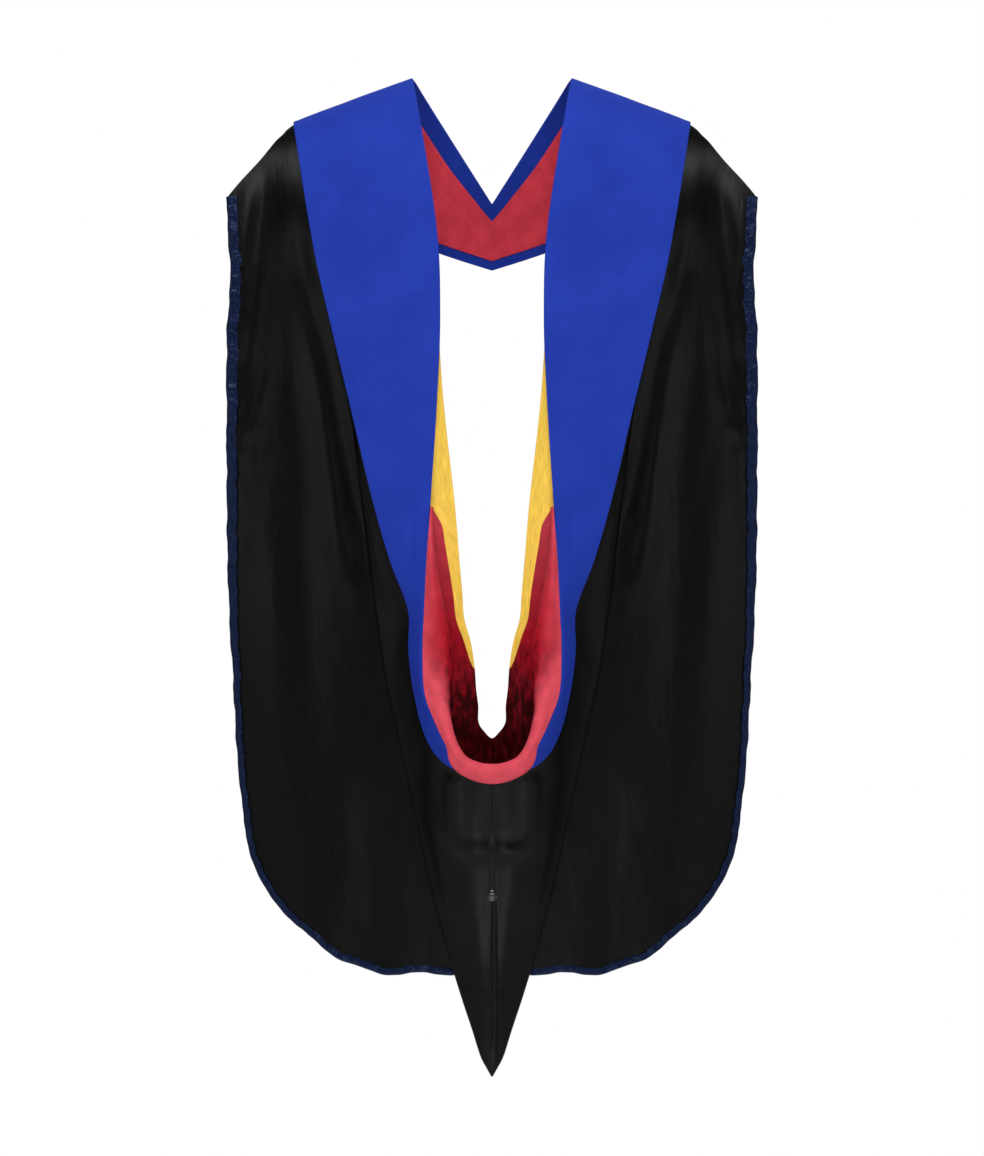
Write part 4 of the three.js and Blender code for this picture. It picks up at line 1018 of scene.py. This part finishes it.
class HOOD_OT_stage(bpy.types.Operator):
    """Lay the floor, hang soft lamps and set the camera behind the wearer"""

    bl_idname = "hood.stage"
    bl_label = "Stage"

    def execute(self, context):
        settings = context.scene.hood_stage
        deselect_all()
        bpy.ops.mesh.primitive_plane_add(size=FLOOR_SIZE, location=(0, 0, -settings.floor_drop))
        floor = context.object
        floor.name = "floor"
        finish, graph, principled = shader("pale_floor", 0.9, Specular_IOR_Level=0.1, Emission_Strength=0.48)
        principled.inputs["Emission Color"].default_value = (*settings.floor, 1)
        grain = graph.noise(graph.add("ShaderNodeTexCoord").outputs["Object"], 9.0)
        graph.set(principled, "Base Color",
                  toned(graph, shade(settings.floor, 0.97), shade(settings.floor, 1.02), grain))
        floor.data.materials.append(finish)
        world = bpy.data.worlds.new("studio")
        world.use_nodes = True
        around = Graph(world.node_tree)
        direct = around.add("ShaderNodeLightPath").outputs["Is Camera Ray"]
        background = world.node_tree.nodes["Background"]
        background.inputs["Color"].default_value = (*settings.sky, 1)
        around.set(background, "Strength", around.between(direct, 0.0, 1.0, WALL_LIGHT, 1.0))
        context.scene.world = world
        context.scene.view_settings.view_transform = "Standard"
        for name, place, size, power in LAMPS:
            self.lamp(name, place, size, power)
        deselect_all()
        place = (0, -settings.camera_distance - BACK_DEPTH * 0.7 * MM, -settings.camera_height)
        bpy.ops.object.camera_add(location=place, rotation=(math.pi / 2, 0, 0))
        camera = context.object
        camera.data.lens = LENS
        camera.data.clip_end = 60
        context.scene.camera = camera
        return {"FINISHED"}

    def lamp(self, name, place, size, power):
        deselect_all()
        bpy.ops.object.light_add(type="AREA", location=place)
        light = bpy.context.object
        light.name = name
        light.data.shape = "DISK"
        light.data.size = size
        light.data.energy = power
        aim = np.array([0, -0.05, -0.5]) - np.array(place)
        across = math.hypot(aim[0], aim[1])
        light.rotation_euler = (math.atan2(across, -aim[2]), 0, math.atan2(aim[1], aim[0]) - math.pi / 2)


class HOOD_OT_cord(bpy.types.Operator):
    """Twist the doubled cord that runs from the roll round the button"""

    bl_idname = "hood.cord"
    bl_label = "Cord"

    def execute(self, context):
        path = self.route()
        run = run_along(path)
        evenly = np.linspace(0, run[-1], 340)
        path = np.stack([np.interp(evenly, run, path[:, k]) for k in range(3)], -1)
        path = soften(path[:, None], down=4)[:, 0]
        tangent = unit(np.gradient(path, axis=0))
        side = unit(np.cross(tangent, np.array([0, -1, 0.2])))
        up = np.cross(side, tangent)
        turn = np.linspace(0, 2 * math.pi, 25)
        radius = context.scene.hood_sizes.cord_diameter / MM / 2
        twist = turn[None] - evenly[:, None] / 1.15
        bulge = radius * (0.86 + 0.14 * np.abs(np.sin(twist)))
        rings = path[:, None] + side[:, None] * (bulge * np.cos(turn))[..., None] \
            + up[:, None] * (bulge * np.sin(turn))[..., None]
        rings[0] = path[0] + (rings[0] - path[0]) * 0.05
        rings[-1] = path[-1] + (rings[-1] - path[-1]) * 0.05
        obj = cloth_grid("button_cord", rings)
        bpy.ops.object.mode_set(mode="EDIT")
        bpy.ops.mesh.select_all(action="SELECT")
        bpy.ops.mesh.remove_doubles(threshold=0.000001)
        bpy.ops.mesh.select_all(action="DESELECT")
        bpy.ops.mesh.select_non_manifold()
        bpy.ops.mesh.edge_face_add()
        bpy.ops.mesh.select_all(action="SELECT")
        bpy.ops.mesh.normals_make_consistent(inside=False)
        bpy.ops.object.mode_set(mode="OBJECT")
        finish = cord_finish("cord_black", context.scene.hood_colours.cord)
        finished(obj, "cord_loop", finish)
        return {"FINISHED"}

    def route(self):
        top, button_z = -COWL_DROP - CLEAR, -COWL_DROP - CORD_DROP
        loop = SHANK_DIAMETER / 2 + 3 * CLEAR + CORD_DIAMETER / 2
        high = SATIN_WALL / 2 + CLEAR + CORD_DIAMETER / 2
        z = np.linspace(top, button_z + 3 * loop, 30)
        x = -CORD_SPREAD / 2 + 0.5 * np.sin(np.linspace(0, 2.2 * math.pi, 30))
        angle = np.radians(np.linspace(175, 270, 12))
        x = np.concatenate([x, loop * np.cos(angle)])
        z = np.concatenate([z, button_z + loop * np.sin(angle)])
        x, z = np.concatenate([x, -x[-2::-1]]), np.concatenate([z, z[-2::-1]])
        point, out = centre_front(x, z)
        return point + out * high


def centre_front(x, z):
    """Points on the shell's front near its centre line, and the direction out of the cloth."""
    line = front_point(section([float(BOTTOM)]), np.linspace(2, 3, 90))[0]
    y = np.interp(-z, -line[:, 2], line[:, 1])
    ahead = np.interp(-z + 1, -line[:, 2], line[:, 1])
    out = unit(np.stack([0 * z, -np.ones_like(z), ahead - y], -1))
    return np.stack([x, y, z], -1), out


class HOOD_OT_button(bpy.types.Operator):
    """Turn the domed button that the cord goes round"""

    bl_idname = "hood.button"
    bl_label = "Button"

    def execute(self, context):
        radius = context.scene.hood_sizes.button_diameter / 2
        point, out = centre_front(np.zeros(1), np.array([-COWL_DROP - CORD_DROP], float))
        shank = SATIN_WALL / 2 + CLEAR
        under = shank + CORD_DIAMETER + CLEAR
        deselect_all()
        bpy.ops.mesh.primitive_cylinder_add(vertices=48, radius=SHANK_DIAMETER / 2 * MM,
                                            depth=(under - shank) * MM,
                                            location=(0, 0, (under + shank) / 2 * MM))
        button = context.object
        button.name = button.data.name = "domed_button"
        bpy.ops.object.mode_set(mode="EDIT")
        bpy.ops.mesh.select_all(action="DESELECT")
        bpy.ops.object.mode_set(mode="OBJECT")
        for face in button.data.polygons:
            face.select = face.normal.z > 0.9
        bpy.ops.object.mode_set(mode="EDIT")
        rim = ((radius * 0.8, 0), (radius * 0.97, 0.5), (radius, 1.3), (radius * 0.93, 2.1), (radius * 0.86, 2.3),
               (radius * 0.78, 2.25), (radius * 0.7, 2.7), (radius * 0.5, 3.8), (radius * 0.25, 4.7))
        wide, height = SHANK_DIAMETER / 2 * MM, 0
        for next_wide, next_height in rim:
            bpy.ops.mesh.extrude_region_move(
                TRANSFORM_OT_translate={"value": (0, 0, (next_height - height) * MM)})
            bpy.ops.transform.resize(value=(next_wide / wide, next_wide / wide, 1))
            wide, height = next_wide, next_height
        bpy.ops.object.mode_set(mode="OBJECT")
        button.location = (0, 0, 0)
        tilt = math.atan2(-out[0, 1], out[0, 2])
        deselect_all()
        button.select_set(True)
        context.view_layer.objects.active = button
        bpy.ops.object.transform_apply(location=True, rotation=True, scale=True)
        return self.seat(context, button, point[0], tilt)

    def seat(self, context, button, point, tilt):
        """Tilts the button square to the cloth and moves it to its place there."""
        points = np.empty(3 * len(button.data.vertices))
        button.data.vertices.foreach_get("co", points)
        points = points.reshape(-1, 3)
        turned = np.stack([points[:, 0], -math.sin(tilt) * points[:, 2] + math.cos(tilt) * points[:, 1],
                           math.cos(tilt) * points[:, 2] + math.sin(tilt) * points[:, 1]], -1)
        button.data.vertices.foreach_set("co", (turned + point * MM).reshape(-1))
        button.data.update()
        finish = button_finish("button_black", context.scene.hood_colours.button)
        finished(button, "cowl_button", finish)
        return {"FINISHED"}


def both_sides(name, points, wall, node, finish, rounding=0, cut=False):
    """One sheet for each side, the right one a mirrored copy of the left one's points."""
    for side, word, grid in ((-1, "left", points), (1, "right", mirrored(points))):
        sewn_cloth(f"{name}_{word}", grid, wall / MM, f"{node}_{word}", finish,
                   rounding,
                   side if cut else 0)


class HOOD_OT_panels(bpy.types.Operator):
    """Hang the two black satin side panels"""

    bl_idname = "hood.panels"
    bl_label = "Side panels"

    def execute(self, context):
        sizes = context.scene.hood_sizes
        finish = satin_finish("panel_satin", context.scene.hood_colours.satin_black, 0.34, 0.0012, 0.12)
        points = swollen(panel_surface(), panel_swell, sizes.satin_swell)
        both_sides("panel_cloth", points, sizes.satin_wall, "side_panel", finish)
        return {"FINISHED"}


class HOOD_OT_bindings(bpy.types.Operator):
    """Fold the puckered satin binding round the panels' edges"""

    bl_idname = "hood.bindings"
    bl_label = "Bindings"

    def execute(self, context):
        sizes = context.scene.hood_sizes
        finish = satin_finish("binding_satin", context.scene.hood_colours.satin_navy, 0.3, 0.0024, 0.17,
                              light=1.9, across=110.0, along_cloth=130.0, tint=(0.45, 0.62, 1))
        both_sides("binding_cloth", binding_surface(sizes.satin_swell), sizes.binding_wall, "binding",
                   finish)
        return {"FINISHED"}


class HOOD_OT_velvet(bpy.types.Operator):
    """Lay the velvet facing over the shoulders and down to the cowl"""

    bl_idname = "hood.velvet"
    bl_label = "Velvet facing"

    def execute(self, context):
        sizes = context.scene.hood_sizes
        finish = pile_finish("facing_velvet", context.scene.hood_colours.velvet, 1500.0)
        points = swollen(velvet_surface(), velvet_swell, sizes.velvet_swell)
        both_sides("velvet_cloth", points, sizes.velvet_wall, "velvet_facing", finish,
                   rounding=1, cut=True)
        return {"FINISHED"}


class HOOD_OT_neck_lining(bpy.types.Operator):
    """Line the inside of the front band"""

    bl_idname = "hood.neck_lining"
    bl_label = "Neck lining"

    def execute(self, context):
        sizes = context.scene.hood_sizes
        finish = pile_finish("lining_nap", context.scene.hood_colours.neck_red, 900.0, light=1.5, dark=0.75,
                             patches=48.0)
        steps = np.concatenate([np.linspace(0, 1, 60)[:-1], [0.992, 0.997, 0.999, 1]])
        top, low = band_margins(steps)
        left = band_points(steps, mix(top, low, np.linspace(0, 1, 26)[None]))
        right = left[-2::-1] * np.array([-1, 1, 1])
        points = np.concatenate([left, right])
        middle = CLEAR - VELVET_LOW + LINING_WALL / 2
        uneven = 0.25 * ripple(points[..., 0] / 16, points[..., 2] / 16, 7)
        points = points + grid_normals(points) * (middle + uneven)[..., None]
        sewn_cloth("neck_lining_cloth", points, sizes.lining_wall / MM, "neck_lining", finish,
                   rounding=1)
        return {"FINISHED"}


class HOOD_OT_shell(bpy.types.Operator):
    """Form the black satin bag with its pointed tail"""

    bl_idname = "hood.shell"
    bl_label = "Shell"

    def execute(self, context):
        sizes = context.scene.hood_sizes
        finish = satin_finish("shell_satin", context.scene.hood_colours.satin_black, 0.34, 0.0011, 0.12)
        points = swollen(shell_surface(), shell_swell, sizes.satin_swell)
        sewn_cloth("shell_cloth", points, sizes.satin_wall / MM, "shell_body", finish)
        return {"FINISHED"}


class HOOD_OT_cowl_lining(bpy.types.Operator):
    """Turn the red lining out into the roll of the cowl"""

    bl_idname = "hood.cowl_lining"
    bl_label = "Cowl lining"

    def execute(self, context):
        sizes = context.scene.hood_sizes
        colours = context.scene.hood_colours
        finish = cowl_finish("lining_satin_red", colours.satin_red, colours.satin_turned, colours.satin_deep)
        points = swollen(cowl_surface(), roll_swell, sizes.roll_swell)
        sewn_cloth("cowl_lining_cloth", points, sizes.lining_wall / MM, "lining_cowl", finish)
        return {"FINISHED"}


class HOOD_OT_gold_lining(bpy.types.Operator):
    """Line the back edges of the opening with gold satin"""

    bl_idname = "hood.gold_lining"
    bl_label = "Gold lining"

    def execute(self, context):
        sizes = context.scene.hood_sizes
        finish = satin_finish("lining_satin_gold", context.scene.hood_colours.satin_gold, 0.36, 0.0012, 0.4)
        points = swollen(gold_surface(), gold_swell, sizes.satin_swell)
        both_sides("gold_lining_cloth", points, sizes.lining_wall, "lining_gold", finish)
        return {"FINISHED"}


class HOOD_PT_panel(bpy.types.Panel):
    """Sizes, colours and steps of the hood"""

    bl_label = "Academic Hood"
    bl_space_type = "VIEW_3D"
    bl_region_type = "UI"
    bl_category = "Hood"

    def draw(self, context):
        for operator in OPERATORS:
            self.layout.operator(operator.bl_idname)
        for settings in (context.scene.hood_sizes, context.scene.hood_colours, context.scene.hood_stage):
            column = self.layout.column(heading=type(settings).__name__)
            for name in settings.__annotations__:
                column.prop(settings, name)


OPERATORS = (HOOD_OT_stage, HOOD_OT_cord, HOOD_OT_button, HOOD_OT_panels, HOOD_OT_bindings, HOOD_OT_shell,
             HOOD_OT_velvet, HOOD_OT_neck_lining, HOOD_OT_cowl_lining, HOOD_OT_gold_lining)
CLASSES = (HoodSizes, HoodColours, StageSettings, *OPERATORS, HOOD_PT_panel)


def register():
    for cls in CLASSES:
        bpy.utils.register_class(cls)
    bpy.types.Scene.hood_sizes = PointerProperty(type=HoodSizes)
    bpy.types.Scene.hood_colours = PointerProperty(type=HoodColours)
    bpy.types.Scene.hood_stage = PointerProperty(type=StageSettings)


def unregister():
    for name in ("hood_stage", "hood_colours", "hood_sizes"):
        delattr(bpy.types.Scene, name)
    for cls in reversed(CLASSES):
        bpy.utils.unregister_class(cls)


def corners(box):
    return [[float(value) for value in point] for point in box]


def main():
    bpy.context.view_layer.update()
    register()
    bpy.ops.hood.stage()
    bpy.ops.hood.cord()
    bpy.ops.hood.button()
    bpy.ops.hood.panels()
    bpy.ops.hood.shell()
    bpy.ops.hood.velvet()
    bpy.ops.hood.bindings()
    bpy.ops.hood.neck_lining()
    bpy.ops.hood.cowl_lining()
    bpy.ops.hood.gold_lining()


if __name__ == "__main__":
    main()
